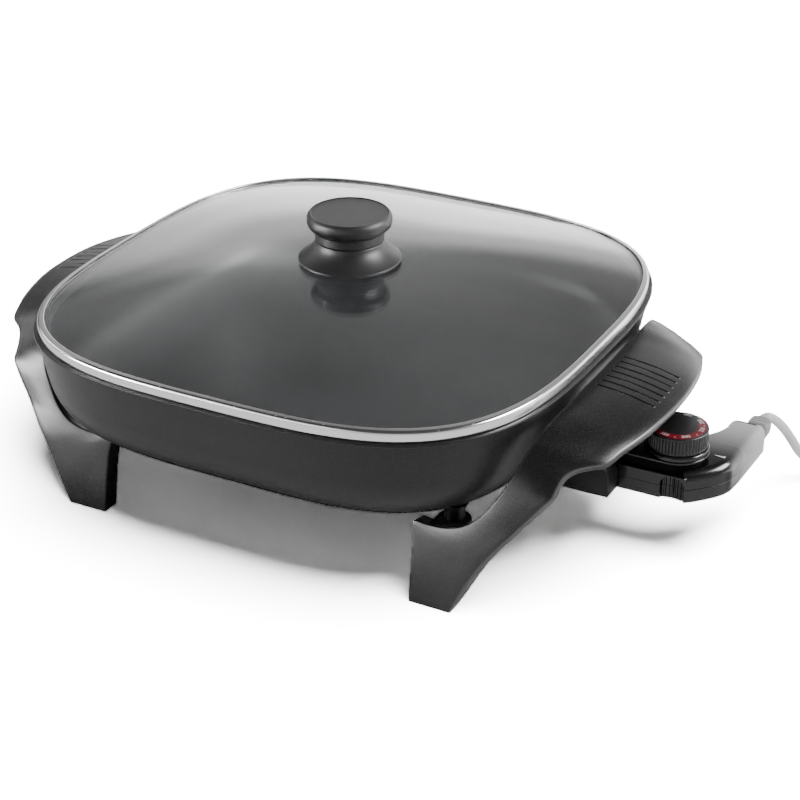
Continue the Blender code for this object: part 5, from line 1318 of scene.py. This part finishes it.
def makeRelief():
    # superellipse sections along Y; between the ribs they shrink by a smooth step of the cosine
    run = np.linspace(0, relief["block"] + relief["taper"], 110)
    inBlock = 1 - smoothStep(relief["block"] - 0.6, relief["block"] + 0.5, run)
    wave = smoothStep(0.25, 0.75, 0.5 + 0.5 * np.cos(2 * np.pi * run / relief["block"] * relief["ribs"]))
    shrink = relief["ribDepth"] * (1 - wave) * inBlock
    narrow = smoothStep(0, relief["taper"], run - relief["block"])
    neck = relief["endRadius"] + 0.7 * (1 - narrow)
    wide = (relief["width"] / 2 - shrink) * inBlock + neck * (1 - inBlock)
    tall = (relief["height"] / 2 - shrink) * inBlock + neck * 0.96 * (1 - inBlock)
    turn = roundTurn(64)
    reach = squaredReach(turn, (2 + 1.6 * inBlock)[:, None])
    x = relief["x"] + wide[:, None] * reach * np.cos(turn)
    z = relief["z"] + tall[:, None] * reach * np.sin(turn)
    grid = np.stack([x, relief["start"] + run[:, None] + 0 * reach, z], -1)
    # the hollows between the ribs, which the relief's finish darkens with painted shade
    hollow = np.broadcast_to(((1 - wave) * inBlock)[:, None], grid.shape[:2])
    gridPiece("cordRelief", grid, "probe", finishes["relief"], ("strain_relief",), sharp=60,
              marks={"groove": hollow})


# Socket guard: a hood over the pins, with a doorway for the nose

guard = {
    "inner": 140.0,
    "end": 169.0,
    "half": 30.0,
    "bottom": 39.0,
    "top": 59.6,
    "round": 11.0,
    "wall": 1.6,
    "rimRound": 0.45,
    "door": 17.5,
    "doorTop": 57.7,
    "footX": 127.0,
    "footY": 24.0,
    "footRadius": 5.2,
    "footLow": 40.0,
    "footThick": 2.8,
}


def makeGuard():
    # a bent sheet and two cheeks, given their wall by Solidify
    r, end, high, low = guard["round"], guard["end"], guard["top"], guard["bottom"]
    doorAngle = np.degrees(np.arcsin((guard["doorTop"] - high + r) / r))
    above = circle(end - r, high - r, r, 90, doorAngle, 8)
    beside = circle(end - r, high - r, r, doorAngle, 0, 14)
    bend = np.vstack([above, beside[1:]])
    profile = np.vstack([[(guard["inner"], high)], bend, [(end, low)]])
    columns = (-guard["half"], -guard["door"], guard["door"], guard["half"])
    points = [((x + middleX) * mm, y * mm, z * mm) for x, z in profile for y in columns]
    count = len(profile)
    faces = []
    for i in range(count - 1):
        for j in range(3):
            if j == 1 and i >= len(above):      # the doorway
                continue
            faces.append((4 * i + j, 4 * i + j + 4, 4 * i + j + 5, 4 * i + j + 1))
    corner = len(points)
    points += [((guard["inner"] + middleX) * mm, y * mm, low * mm) for y in (columns[0], columns[3])]
    faces.append([corner] + [4 * i for i in reversed(range(count))])
    faces.append([corner + 1] + [4 * i + 3 for i in range(count)])
    mesh = bpy.data.meshes.new("socketHood")
    mesh.from_pydata(points, [], faces)
    piece = settle("socketHood", mesh, "base", finishes["phenolic"], ("socket_guard",), 40)
    wall = piece.modifiers.new("wall", "SOLIDIFY")
    wall.thickness = guard["wall"] * mm
    wall.offset = -1
    wall.use_even_offset = True
    rim = piece.modifiers.new("rims", "BEVEL")
    rim.width = guard["rimRound"] * mm
    rim.segments = 3
    rim.limit_method = "ANGLE"
    rim.angle_limit = np.radians(50)
    for label, side in (("Front", -1), ("Back", 1)):
        y, radius = side * guard["footY"], guard["footRadius"]
        plan = np.vstack([circle(guard["footX"], y, radius, 90, 270, 30), [(guard["inner"] + 4, y - radius)],
                          [(guard["inner"] + 4, y + radius)]])
        foot = guard["footLow"]
        platePiece("hoodFoot" + label, plan, foot, foot + guard["footThick"], "base", "phenolic")
    print("guard made")


# Underside: the castings below the pan, the element, its pins, and the screws

under = {
    "pinZ": 45.3,
    "elementRadius": 3.3,
    "half": 88.0,
    "corner": 36.0,
    "neckX": 92.0,
    "neckRadius": 11.0,
    "spread": 11.0,
    "endX": 126.0,
    "beadWidth": 12.0,
    "beadLow": 45.2,
    "blockFrom": 96.0,
    "blockTo": 119.0,
    "blockWidth": 9.4,
    "blockLow": 40.6,
    "boss": (110.0, 90.0, 5.5),
    "guardBoss": (127.0, 24.0, 3.8),
    "guardBossLow": 43.1,
    "tabTop": 43.2,
    "tabThick": 2.7,
    "tabRadius": 9.0,
    "tabRootY": 102.0,
    "wellFrom": 104.0,
    "wellTo": 140.0,
    "wellRadius": 3.3,
    "wellBore": 2.7,
    "stemFrom": 108.0,
    "stemTo": 198.0,
    "stemRadius": 2.4,
    "pinRadius": 2.3,
    "pinTo": 166.0,
    "sleeveRadius": 4.6,
    "sleeveLength": 10.0,
    "pinMouth": (3.4, 24.0),
    "stemMouth": (2.75, 6.0),
}


def cornerName(side, end):
    # FrontLeft, FrontRight, BackLeft or BackRight
    return ("Front" if end < 0 else "Back") + ("Left" if side < 0 else "Right")


def undersideAt(x, y):
    # height of the bowl's outside below the place (x, y)
    outer = panProfile()[3:33]
    n = pan["squareness"][0]
    half = (abs(x) ** n + abs(y) ** n) ** (1 / n)
    return float(np.interp(half, outer[:, 0], outer[:, 1]))


def elementPath(endX):
    # straight ends side by side, two necks, and a rounded square between them
    neck, corner, turn, spread = under["neckX"], under["corner"], under["neckRadius"], under["spread"]
    half = under["half"]
    front = np.vstack([
        [(endX, -spread)],
        circle(neck + turn, -spread - turn, turn, 90, 180, 14),
        circle(neck - corner, corner - half, corner, 0, -90, 24),
        circle(corner - half, corner - half, corner, -90, -180, 24),
    ])
    return np.vstack([front, front[::-1] * [1, -1]])


def levelSweep(path, section):
    # a section of (aside, up) points carried along a level path
    ahead = unit(np.gradient(path, axis=0))
    ahead[0], ahead[-1] = unit(path[1] - path[0]), unit(path[-1] - path[-2])
    side = np.stack([-ahead[:, 1], ahead[:, 0]], 1)
    plan = path[:, None] + side[:, None] * section[None, :, :1]
    return np.concatenate([plan, np.broadcast_to(section[None, :, 1:], (*plan.shape[:2], 1))], -1)


def rodGrid(stations, y, z, sides=40):
    # circles of (x, radius) stations about a line along X
    turn = roundTurn(sides)
    x, r = np.array(stations, float).T[:, :, None]
    return np.stack([x + 0 * turn, y + r * np.cos(turn), z + r * np.sin(turn)], -1)


def roundedRod(start, end, radius, first=0.5, last=0.5, steps=5):
    # stations of a rod whose two ends are quarter circles of their own radii
    a = np.linspace(0, np.pi / 2, steps)
    head = [(start + first * (1 - np.sin(t)), radius - first * (1 - np.cos(t))) for t in a[::-1]]
    tail = [(end - last * (1 - np.sin(t)), radius - last * (1 - np.cos(t))) for t in a]
    return head + tail


def makeCastings():
    # a bead swept along the element, the block round the sensor's tube, turned bosses, and the handles' tabs
    width, low = under["beadWidth"] / 2, under["beadLow"]
    section = filleted([(-width, 51.4), (-width, low), (width, low), (width, 51.4)], (0, 1.6, 1.6, 0), 6)
    path = elementPath(under["endX"] - under["neckRadius"])
    gridPiece("elementBead", levelSweep(evenly(path, 240), section), "base", finishes["cast"],
              sharp=40, caps="face")
    half = under["blockWidth"] / 2
    low = under["blockLow"]
    rings = []
    for x, gap in ((0, 0.8), (0.25, 0.25), (0.8, 0)):
        rings.append((under["blockFrom"] + x, gap))
    for x, gap in ((0.8, 0), (0.25, 0.25), (0, 0.8)):
        rings.append((under["blockTo"] - x, gap))
    profile = filleted([(-half, 51.2), (-half, low), (half, low), (half, 51.2)], (0, 3.6, 3.6, 0), 8)
    middle = np.array([0, 47.0])
    grid = [np.column_stack([np.full(len(profile), x), middle + (profile - middle) * (1 - gap / 6)])
            for x, gap in rings]
    gridPiece("sensorBlock", np.array(grid), "base", finishes["cast"], sharp=40, caps="face")
    for label, (x, y, radius), low, sides in (
        ("legBoss", under["boss"], under["tabTop"] + 0.3, (-1, 1)),
        ("hoodBoss", under["guardBoss"], under["guardBossLow"], (1,)),
    ):
        top = undersideAt(x, y) + 2.2
        profile = [(0, low), (radius - 0.5, low), (radius - 0.15, low + 0.15), (radius, low + 0.5),
                   (radius, top - 6), (radius + 0.5, top - 3.4), (radius + 1.6, top - 1.2), (radius, top),
                   (0, top)]
        for side in sides:
            for end in (-1, 1):
                turnedPiece(label + cornerName(side, end), np.array(profile), (side * x, end * y, 0), "base",
                            finishes["nonstick"], (), 56)
    (x, y), radius = under["boss"][:2], under["tabRadius"]
    plan = np.vstack([circle(x, -y, radius, 0, 180, 40), [(x - radius, -under["tabRootY"])],
                      [(x + radius, -under["tabRootY"])]])
    for side in (-1, 1):
        for end in (-1, 1):
            placed = plan * [side, -end] if side * end < 0 else (plan * [side, -end])[::-1]
            platePiece("legTab" + cornerName(side, end), placed, under["tabTop"] - under["tabThick"],
                       under["tabTop"], "base", "phenolic")
    print("castings made")


def makeElement():
    # a tube along the loop, round rods for its pins, sleeves and stem, and a turned tube for the sensor
    path = evenly(elementPath(under["endX"]), 260)
    points = np.column_stack([path, np.full(len(path), under["pinZ"])])
    grid = tubeGrid(points, under["elementRadius"], 32)
    gridPiece("elementTube", grid, "base", finishes["incoloy"], ("heating_element",),
              sharp=40)
    start = under["endX"] + 0.3
    for label, side in (("front", -1), ("back", 1)):
        y = side * under["spread"]
        sleeve = roundedRod(start, start + under["sleeveLength"], under["sleeveRadius"], 0.6, 0.9)
        name = "pinSleeve" + label.capitalize()
        gridPiece(name, rodGrid(sleeve, y, under["pinZ"]), "base", finishes["ceramic"],
                  ("pin_insulator_" + label,), sharp=40)
        pin = roundedRod(start, under["pinTo"], under["pinRadius"], 0.2, 2.0, 8)
        gridPiece("terminalPin" + label.capitalize(), rodGrid(pin, y, under["pinZ"]), "base",
                  finishes["nickel"], ("terminal_pin_" + label,), sharp=40)
    outer, bore = under["wellRadius"], under["wellBore"]
    left, right = under["wellFrom"], under["wellTo"]
    stations = [(left, 0.0), (left, outer - 0.4), (left + 0.4, outer), (right - 1.4, outer),
                (right - 1.0, outer + 0.5), (right - 0.5, outer + 0.6), (right, outer + 0.3),
                (right, bore + 0.3), (right - 0.4, bore), (left + 1.0, bore), (left + 1.0, 0.0)]
    gridPiece("sensorTube", rodGrid(stations, 0, under["pinZ"]), "base", finishes["nickel"],
              ("sensor_well",), sharp=40)
    stem = roundedRod(under["stemFrom"], under["stemTo"], under["stemRadius"], 2.0, 0.3, 8)
    gridPiece("sensorStem", rodGrid(stem, 0, under["pinZ"]), "probe", finishes["nickel"],
              ("sensor_stem",), sharp=40)
    print("element made")


def crossRecess(x, y, size):
    # depth 1 inside a plus sign of half-length and half-width
    long, thin = 0.62 * size, 0.15 * size
    x, y = abs(x), abs(y)
    beyond = np.minimum(np.maximum(x - long, y - thin), np.maximum(y - long, x - thin))
    return 1 - smoothStep(-0.05 * size, 0.03 * size, beyond)


# shank's radius, length, head's radius and head's height
screws = {
    "leg": (1.7, 10.4, 3.8, 2.4),
    "guard": (1.7, 9.3, 3.8, 2.4),
    "nose": (1.3, 8.5, 2.7, 1.6),
    "arm": (1.3, 8.8, 2.7, 1.6),
    "knob": (1.8, 23.4, 5.0, 2.5),
}
# what the heads sit against: a height, or a whole place
seats = {
    "guard": 39.7,
    "nose": (175.8, -8.0, 39.7),
    "arm": (213.6, 33.0, 41.27),
    "knob": 124.2,
}
# outer radius, inner radius, height and the round of the outer rims
washers = {
    "leg": (5.2, 2.0, 0.9, 0.25),
    "knob": (7.2, 2.1, 0.8, 0.25),
    "gasket": (8.0, 2.4, 0.8, 0.35),
}


def makeScrew(name, node, kind, x, y, seat, body="base"):
    # a pan head with its crown down and a cross recess, a shank with ridges for the thread, and a blunt tip
    shank, length, radius, deep = screws[kind]
    r = np.concatenate([np.linspace(0.06, 0.66, 20) * radius, np.linspace(0.7, 0.96, 5) * radius])
    crown = -deep + deep * 0.62 * (r / radius) ** 3.2
    rows = [(a, b) for a, b in zip(r, crown)]
    rows += [(radius, -deep * 0.3), (radius, -0.15), (radius - 0.15, 0), (shank, 0)]
    z = np.linspace(0.3, length - 0.6, int(length / 0.16))
    rows += [(shank - 0.14 * (0.5 - 0.5 * np.cos(2 * np.pi * k / 0.8)), k) for k in z]
    rows += [(shank - 0.2, length - 0.3), (shank * 0.5, length)]
    rows = np.array(rows)
    turn = roundTurn(48) + 0.3
    grid = np.stack([rows[:, :1] * np.cos(turn), rows[:, :1] * np.sin(turn), rows[:, 1:] + 0 * turn], -1)
    cut = crossRecess(grid[:25, :, 0], grid[:25, :, 1], radius)
    grid[:25, :, 2] += 0.5 * deep * cut
    grid += [x, y, seat]
    grid = np.concatenate([np.broadcast_to([[[x, y, seat - 0.5 * deep]]], (1, 48, 3)), grid])
    gridPiece(name, grid, body, finishes["zinc"], (node,), sharp=35)


def makeWasher(name, node, kind, place, body, material, steps):
    # a flat ring with rounded rims
    outer, inner, high, soft = washers[kind]
    ring = filleted([(outer, 0), (outer, high), (inner, high), (inner, 0)], (soft, soft, 0.1, 0.1), 3,
                    closed=True)
    turnedPiece(name, ring, place, body, material, (node,), steps, True)


def makeFasteners():
    # the heads face down, and the washers and the gasket lie under what they hold
    x, y = under["boss"][:2]
    seat = under["tabTop"] - under["tabThick"] - 1.2
    for end in (-1, 1):
        for side in (-1, 1):
            where = ("front" if end < 0 else "back") + ("_left" if side < 0 else "_right")
            label = cornerName(side, end)
            makeWasher("legWasher" + label, "leg_washer_" + where, "leg", (side * x, end * y, seat), "base",
                       finishes["zinc"], 56)
            makeScrew("legScrew" + label, "leg_screw_" + where, "leg", side * x, end * y, seat - 0.3)
    x, y = under["guardBoss"][:2]
    for end, where in ((-1, "front"), (1, "back")):
        makeScrew("hoodScrew" + where.title(), "guard_screw_" + where, "guard", x, end * y, seats["guard"])
    makeScrew("noseScrew", "housing_screw_nose", "nose", *seats["nose"], "probe")
    makeScrew("armScrew", "housing_screw_arm", "arm", *seats["arm"], "probe")
    seat = seats["knob"]
    makeWasher("knobWasher", "knob_washer", "knob", (0, 0, seat + 0.3), "lid", finishes["zinc"],
               64)
    makeWasher("knobGasket", "knob_gasket", "gasket", (0, 0, knob["bottom"]), "lid", finishes["silicone"],
               64)
    makeScrew("knobScrew", "knob_screw", "knob", 0, 0, seat, "lid")
    print("screws made")


# Dial print: a red band that starts as a thin wedge, numbers, and an index mark on the arm

face = {
    "low": 74.1,
    "high": 74.55,
    "ringFrom": 10.6,
    # degrees where the band runs out to the rim, and between which it is left out
    "wedge": (36, 64),
    "gap": (64, 160),
    # word, its angle, radius and size; then the angles of the dots, and their radius and size
    "marks": (("OFF", 88, 11.6, 2.6), ("200", 44, 11.0, 3.4), ("250", 4, 11.0, 3.4), ("300", -52, 11.0, 3.4),
              ("350", -103, 11.0, 3.4), ("400", -152, 11.0, 3.4), ("450", -193, 11.0, 3.4)),
    "dots": (24, -24, -77, -128, -172),
    "dotAt": (12.0, 2.8),
    "index": ((212.0, 8.5), (218.4, 7.5), (218.4, 9.3)),
    "black": (0.010, 0.010, 0.011),
    "reds": ((0.11, 0.003, 0.009), (0.21, 0.008, 0.020)),
}


def dialPrint():
    # the band's inner edge runs out to the rim where it begins; a little unevenness of the ink
    made, shader = newMaterial("dialPrint", face["black"], 0.32, specular=0.4)
    nodes, links = nodesOf(made.node_tree)
    place = nodes.new("ShaderNodeTexCoord").outputs["Object"]
    shift = nodes.new("ShaderNodeVectorMath")
    shift.operation = "SUBTRACT"
    links.new(place, shift.inputs[0])
    shift.inputs[1].default_value = ((dial["x"] + middleX) * mm, 0, 0)
    split = nodes.new("ShaderNodeSeparateXYZ")
    links.new(shift.outputs[0], split.inputs[0])
    x, y = split.outputs["X"], split.outputs["Y"]
    squares = math(nodes, links, "MULTIPLY_ADD", y, y, math(nodes, links, "MULTIPLY", x, x))
    radius = math(nodes, links, "SQRT", squares)
    angle = math(nodes, links, "MULTIPLY", math(nodes, links, "ARCTAN2", y, x), 180 / np.pi)
    inner, rim = face["ringFrom"] * mm, dial["faceRadius"] * mm
    wedge = stepNode(nodes, links, angle, *face["wedge"], inner, rim, "LINEAR")
    before = math(nodes, links, "LESS_THAN", angle, face["gap"][0])
    after = math(nodes, links, "GREATER_THAN", angle, face["gap"][1])
    first = math(nodes, links, "MULTIPLY", before, math(nodes, links, "GREATER_THAN", radius, wedge))
    second = math(nodes, links, "MULTIPLY", after, math(nodes, links, "GREATER_THAN", radius, inner))
    band = math(nodes, links, "MAXIMUM", first, second)
    ink = noise(nodes, links, place, 900.0, 3.0)
    red = mixColors(made, ink, *face["reds"])
    links.new(mixColors(made, band, face["black"], red), shader.inputs["Base Color"])
    addBump(made, shader, ink, 0.004)
    return made


def textOutline(words, size):
    # a word as flat points and faces, centred on its own width, standing on its baseline
    curve = bpy.data.curves.new("words", "FONT")
    curve.body = words
    curve.size = size
    curve.align_x = "CENTER"
    curve.resolution_u = 4
    curve.extrude = 0.03
    made = bpy.data.objects.new("words", curve)
    bpy.context.scene.collection.objects.link(made)
    bpy.context.view_layer.update()
    mesh = bpy.data.meshes.new_from_object(made.evaluated_get(bpy.context.evaluated_depsgraph_get()))
    points = np.zeros(len(mesh.vertices) * 3)
    mesh.vertices.foreach_get("co", points)
    faces = [tuple(polygon.vertices) for polygon in mesh.polygons]
    bpy.data.objects.remove(made)
    bpy.data.curves.remove(curve)
    bpy.data.meshes.remove(mesh)
    return points.reshape(-1, 3), faces


def makeFace():
    # a turned disc, the raised words round it, and the index mark
    x, r, low, high = dial["x"], dial["faceRadius"] - 0.08, face["low"], face["high"]
    profile = filleted([(0, low), (r, low), (r, high), (0, high)], (0, 0.1, 0.18, 0), 4)
    turnedPiece("dialDisc", profile, (x, 0, 0), "dial", finishes["print"], ("dial_face",), 128)
    allPoints, allFaces, count = [], [], 0
    dots = tuple(("•", angle, *face["dotAt"]) for angle in face["dots"])
    for words, angle, radius, size in face["marks"] + dots:
        points, faces = textOutline(words, size * 1.02)
        a = np.radians(angle)
        # letters stand on a circle with their tops towards the centre, and bend with it
        turn = a + points[:, 0] / (radius + size * 0.62)
        reach = radius + size * 0.85 - points[:, 1]
        placed = np.stack([x + reach * np.cos(turn), reach * np.sin(turn), high + 0.03 + points[:, 2]], 1)
        allPoints.append(placed)
        allFaces += [tuple(count + k for k in polygon) for polygon in faces]
        count += len(points)
    mesh = bpy.data.meshes.new("dialNumbers")
    mesh.from_pydata((np.vstack(allPoints) + [middleX, 0, 0]) * mm, [], allFaces)
    settle("dialNumbers", mesh, "dial", finishes["ink"], (), 30)
    platePiece("indexMark", face["index"], probe["top"] - 0.2, probe["top"] + 0.12, "probe", "ink",
               (), 0, 0.03)
    print("dial print made")


# Holes in the probe's nose

def drill(piece, x, y, z, radius, deep):
    # a blind round hole along X, cut out of a finished piece by a Boolean that is applied at once
    stations = [(x - 2, 0.0), (x - 2, radius), (x + deep, radius), (x + deep, 0.0)]
    grid = rodGrid(stations, y, z, 40)[1:-1]
    rows, columns = grid.shape[:2]
    index = np.arange(rows * columns).reshape(rows, columns)
    faces = [(index[0, k], index[0, (k + 1) % columns], index[1, (k + 1) % columns], index[1, k])
             for k in range(columns)]
    faces = [tuple(int(v) for v in face[::-1]) for face in faces]
    faces += [tuple(int(v) for v in index[0]), tuple(int(v) for v in index[1, ::-1])]
    mesh = bpy.data.meshes.new("drill")
    mesh.from_pydata((grid.reshape(-1, 3) + [middleX, 0, 0]) * mm, [], faces)
    tool = bpy.data.objects.new("drill", mesh)
    bpy.context.scene.collection.objects.link(tool)
    cut = piece.modifiers.new("hole", "BOOLEAN")
    cut.operation = "DIFFERENCE"
    cut.solver = "EXACT"
    cut.object = tool
    bpy.context.view_layer.update()
    made = bpy.data.meshes.new_from_object(piece.evaluated_get(bpy.context.evaluated_depsgraph_get()))
    piece.modifiers.clear()
    old = piece.data
    piece.data = made
    bpy.data.objects.remove(tool)
    bpy.data.meshes.remove(mesh)
    name = old.name
    bpy.data.meshes.remove(old)
    made.name = name
    made.set_sharp_from_angle(angle=np.radians(35))


def drillNose():
    # the mouths for the two pins and the sensor's stem
    pinMouth, stemMouth = under["pinMouth"], under["stemMouth"]
    for name in ("probeShell", "probeDeck"):
        piece = bpy.data.objects[name]
        for y, (radius, deep) in ((-under["spread"], pinMouth), (under["spread"], pinMouth), (0, stemMouth)):
            drill(piece, probe["noseX"], y, under["pinZ"], radius, deep)
    print("nose drilled")


makePan()
makeGlass()
makeBand()
makeKnob()
makeHandles()
makeShell()
makeArm()
makeDial()
makeRelief()
makeGuard()
makeCastings()
makeElement()
makeFasteners()
finishes["print"] = dialPrint()
makeFace()
drillNose()


# Plain finishes for the CAD nodes that stay

nodeFinishes = {
    "nonstick": "nonstick", "phenolic": "phenolic", "knob_black": "knob", "gloss_black": "gloss",
    "stainless_band": "steel", "zinc_plate": "zinc", "brass": "brass", "ceramic": "ceramic",
    "silicone": "silicone", "lid_glass": "glass", "dial_print": "gloss", "cord_jacket": "rubber",
}


def finishNodes():
    # each node's slot takes the finish that goes with its row in the record
    for row in frame["record"]["subparts"]:
        node = frame["nodes"][row["node"]]
        for slot in node.material_slots:
            slot.material = finishes[nodeFinishes[row["material_slot"]]]


finishNodes()


# Floor and lights

studio = {
    "floor": 0.98,
    "floorRight": 3.6,
    "floorFar": 0.30,
    "floorSeen": 17.0,
    "floorSize": 16.0,
    # where the floor's painted pool of light and its painted shade begin and end, in metres: along X, along Y
    # and from the middle
    "rightFrom": (0.20, 0.27),
    "behindFrom": (0.065, 0.11),
    "farFrom": (0.5, 0.95),
    "key": 3.8,
    "keyAngle": 43.0,
    "keyBack": 3.0,
    "keyLeft": 18.0,
    # the panel's place, aim, size and brightness
    "panel": ((1.38, 0.50, 0.98), (0.22, 0, 0.05), (0.84, 0.60), 40.0),
    "fill": 0.005,
    "background": 22.0,
    # what gloss reflects: brightness over the sine of the height, as in front of a lit backdrop
    "sky": ((0.0, 3.8), (0.15, 3.6), (0.27, 1.8), (0.40, 0.62), (0.60, 0.42), (1.0, 0.30)),
    "skyScale": 4.0,
    "front": 0.22,
    "frontToBack": (0.35, 0.80),
    "left": 0.10,
    "leftToRight": (-0.75, -0.50),
    # soft patches that gloss alone reflects: direction, cosines of the edge and of the core, brightness
    "patches": (((-0.766, -0.643, 0.05), 0.95, 0.985, 44.0), ((-0.45, -0.86, 0.20), 0.80, 0.97, 1.5),
                ((-0.74, 0.42, 0.52), 0.92, 0.985, 0.35), ((-0.93, 0.04, 0.36), 0.93, 0.985, 2.2)),
}


def makeFloor():
    # paper that the camera sees overexposed, as in a cut-out photograph; gloss sees it paler behind the probe
    # and darker far away
    material = bpy.data.materials.new("paperFloor")
    material.use_nodes = True
    nodes, links = nodesOf(material.node_tree)
    nodes.remove(nodes["Principled BSDF"])
    paper = nodes.new("ShaderNodeBsdfDiffuse")
    ray = nodes.new("ShaderNodeLightPath")
    seen = math(nodes, links, "MAXIMUM", ray.outputs["Is Camera Ray"], ray.outputs["Is Transmission Ray"])
    split = nodes.new("ShaderNodeSeparateXYZ")
    links.new(nodes.new("ShaderNodeTexCoord").outputs["Object"], split.inputs[0])
    # for all rays but the camera's, the paper is paler behind the probe, a painted pool of light, and darker
    # far away, painted shade
    more = studio["floorRight"] - studio["floor"]
    right = stepNode(nodes, links, split.outputs["X"], *studio["rightFrom"])
    behind = stepNode(nodes, links, split.outputs["Y"], *studio["behindFrom"], 0.0, more)
    far = nodes.new("ShaderNodeVectorMath")
    far.operation = "LENGTH"
    links.new(nodes.new("ShaderNodeTexCoord").outputs["Object"], far.inputs[0])
    base = stepNode(nodes, links, far.outputs["Value"], *studio["farFrom"], studio["floor"],
                    studio["floorFar"])
    plain = math(nodes, links, "MULTIPLY_ADD", right, behind, base)
    hidden = math(nodes, links, "MULTIPLY", plain, math(nodes, links, "SUBTRACT", 1.0, seen))
    white = math(nodes, links, "MULTIPLY_ADD", seen, studio["floorSeen"], hidden)
    merged = nodes.new("ShaderNodeCombineColor")
    for channel in ("Red", "Green", "Blue"):
        links.new(white, merged.inputs[channel])
    links.new(merged.outputs[0], paper.inputs["Color"])
    sided = nodes.new("ShaderNodeMixShader")  # clear from below, so that the underside can be looked at
    links.new(nodes.new("ShaderNodeNewGeometry").outputs["Backfacing"], sided.inputs["Fac"])
    links.new(paper.outputs[0], sided.inputs[1])
    links.new(nodes.new("ShaderNodeBsdfTransparent").outputs[0], sided.inputs[2])
    links.new(sided.outputs[0], nodes["Material Output"].inputs["Surface"])
    mesh = bpy.data.meshes.new("floor")
    half = studio["floorSize"] / 2
    corners = [(-half, -half, 0), (half, -half, 0), (half, half, 0), (-half, half, 0)]
    mesh.from_pydata(corners, [], [(0, 1, 2, 3)])
    mesh.materials.append(material)
    floor = bpy.data.objects.new("floor", mesh)
    bpy.context.scene.collection.objects.link(floor)


def makeWorld():
    # an even white for the camera; for gloss a sky by height, dim in front and at the left, and the patches
    world = bpy.data.worlds.new("studio")
    bpy.context.scene.world = world
    world.use_nodes = True
    nodes, links = nodesOf(world.node_tree)
    place = nodes.new("ShaderNodeTexCoord").outputs["Generated"]
    split = nodes.new("ShaderNodeSeparateXYZ")
    links.new(place, split.inputs[0])
    ramp = nodes.new("ShaderNodeValToRGB")
    ramp.color_ramp.interpolation = "EASE"
    stops = studio["sky"]
    while len(ramp.color_ramp.elements) < len(stops):
        ramp.color_ramp.elements.new(0.5)
    for element, (height, value) in zip(ramp.color_ramp.elements, stops):
        element.position = height
        element.color = (*[value / studio["skyScale"]] * 3, 1)
    links.new(split.outputs["Z"], ramp.inputs["Fac"])
    toBack = stepNode(nodes, links, split.outputs["Y"], *studio["frontToBack"], studio["front"])
    notLeft = stepNode(nodes, links, split.outputs["X"], *studio["leftToRight"], studio["left"])
    sides = math(nodes, links, "MULTIPLY", toBack, notLeft)
    sky = math(nodes, links, "MULTIPLY", math(nodes, links, "MULTIPLY", sides, studio["skyScale"]),
               ramp.outputs["Color"])
    for direction, edge, core, value in studio["patches"]:
        dot = nodes.new("ShaderNodeVectorMath")
        dot.operation = "DOT_PRODUCT"
        links.new(place, dot.inputs[0])
        dot.inputs[1].default_value = direction
        patch = stepNode(nodes, links, dot.outputs["Value"], edge, core, 0.0, value)
        sky = math(nodes, links, "ADD", sky, patch)
    ray = nodes.new("ShaderNodeLightPath")
    gloss = math(nodes, links, "MULTIPLY", sky, ray.outputs["Is Glossy Ray"])
    direct = ray.outputs["Is Camera Ray"]
    seen = math(nodes, links, "MULTIPLY_ADD", direct, studio["background"], studio["fill"])
    nodes["Background"].inputs["Color"].default_value = (1, 1, 1, 1)
    links.new(math(nodes, links, "ADD", gloss, seen), nodes["Background"].inputs["Strength"])


def softbox(name, place, aim, size, brightness):
    # a panel that only gloss reflects; its power is brightness times pi times its area
    data = bpy.data.lights.new(name, "AREA")
    data.shape = "RECTANGLE"
    data.size, data.size_y = size
    data.energy = brightness * np.pi * size[0] * size[1]
    made = bpy.data.objects.new(name, data)
    bpy.context.scene.collection.objects.link(made)
    made.location = place
    made.rotation_euler = (Vector(aim) - Vector(place)).to_track_quat("-Z", "Y").to_euler()
    made.visible_diffuse = False
    made.visible_transmission = False


def makeLights():
    # a wide overhead key, and a panel at the right for the glints on the probe
    data = bpy.data.lights.new("key", "SUN")
    data.energy = studio["key"]
    data.angle = np.radians(studio["keyAngle"])
    made = bpy.data.objects.new("key", data)
    bpy.context.scene.collection.objects.link(made)
    made.location = (0, 0, 2)
    made.rotation_euler = (np.radians(studio["keyBack"]), np.radians(studio["keyLeft"]), 0)
    made.visible_glossy = False
    softbox("rightPanel", *studio["panel"])


makeFloor()
makeWorld()
makeLights()

print("scene ready")
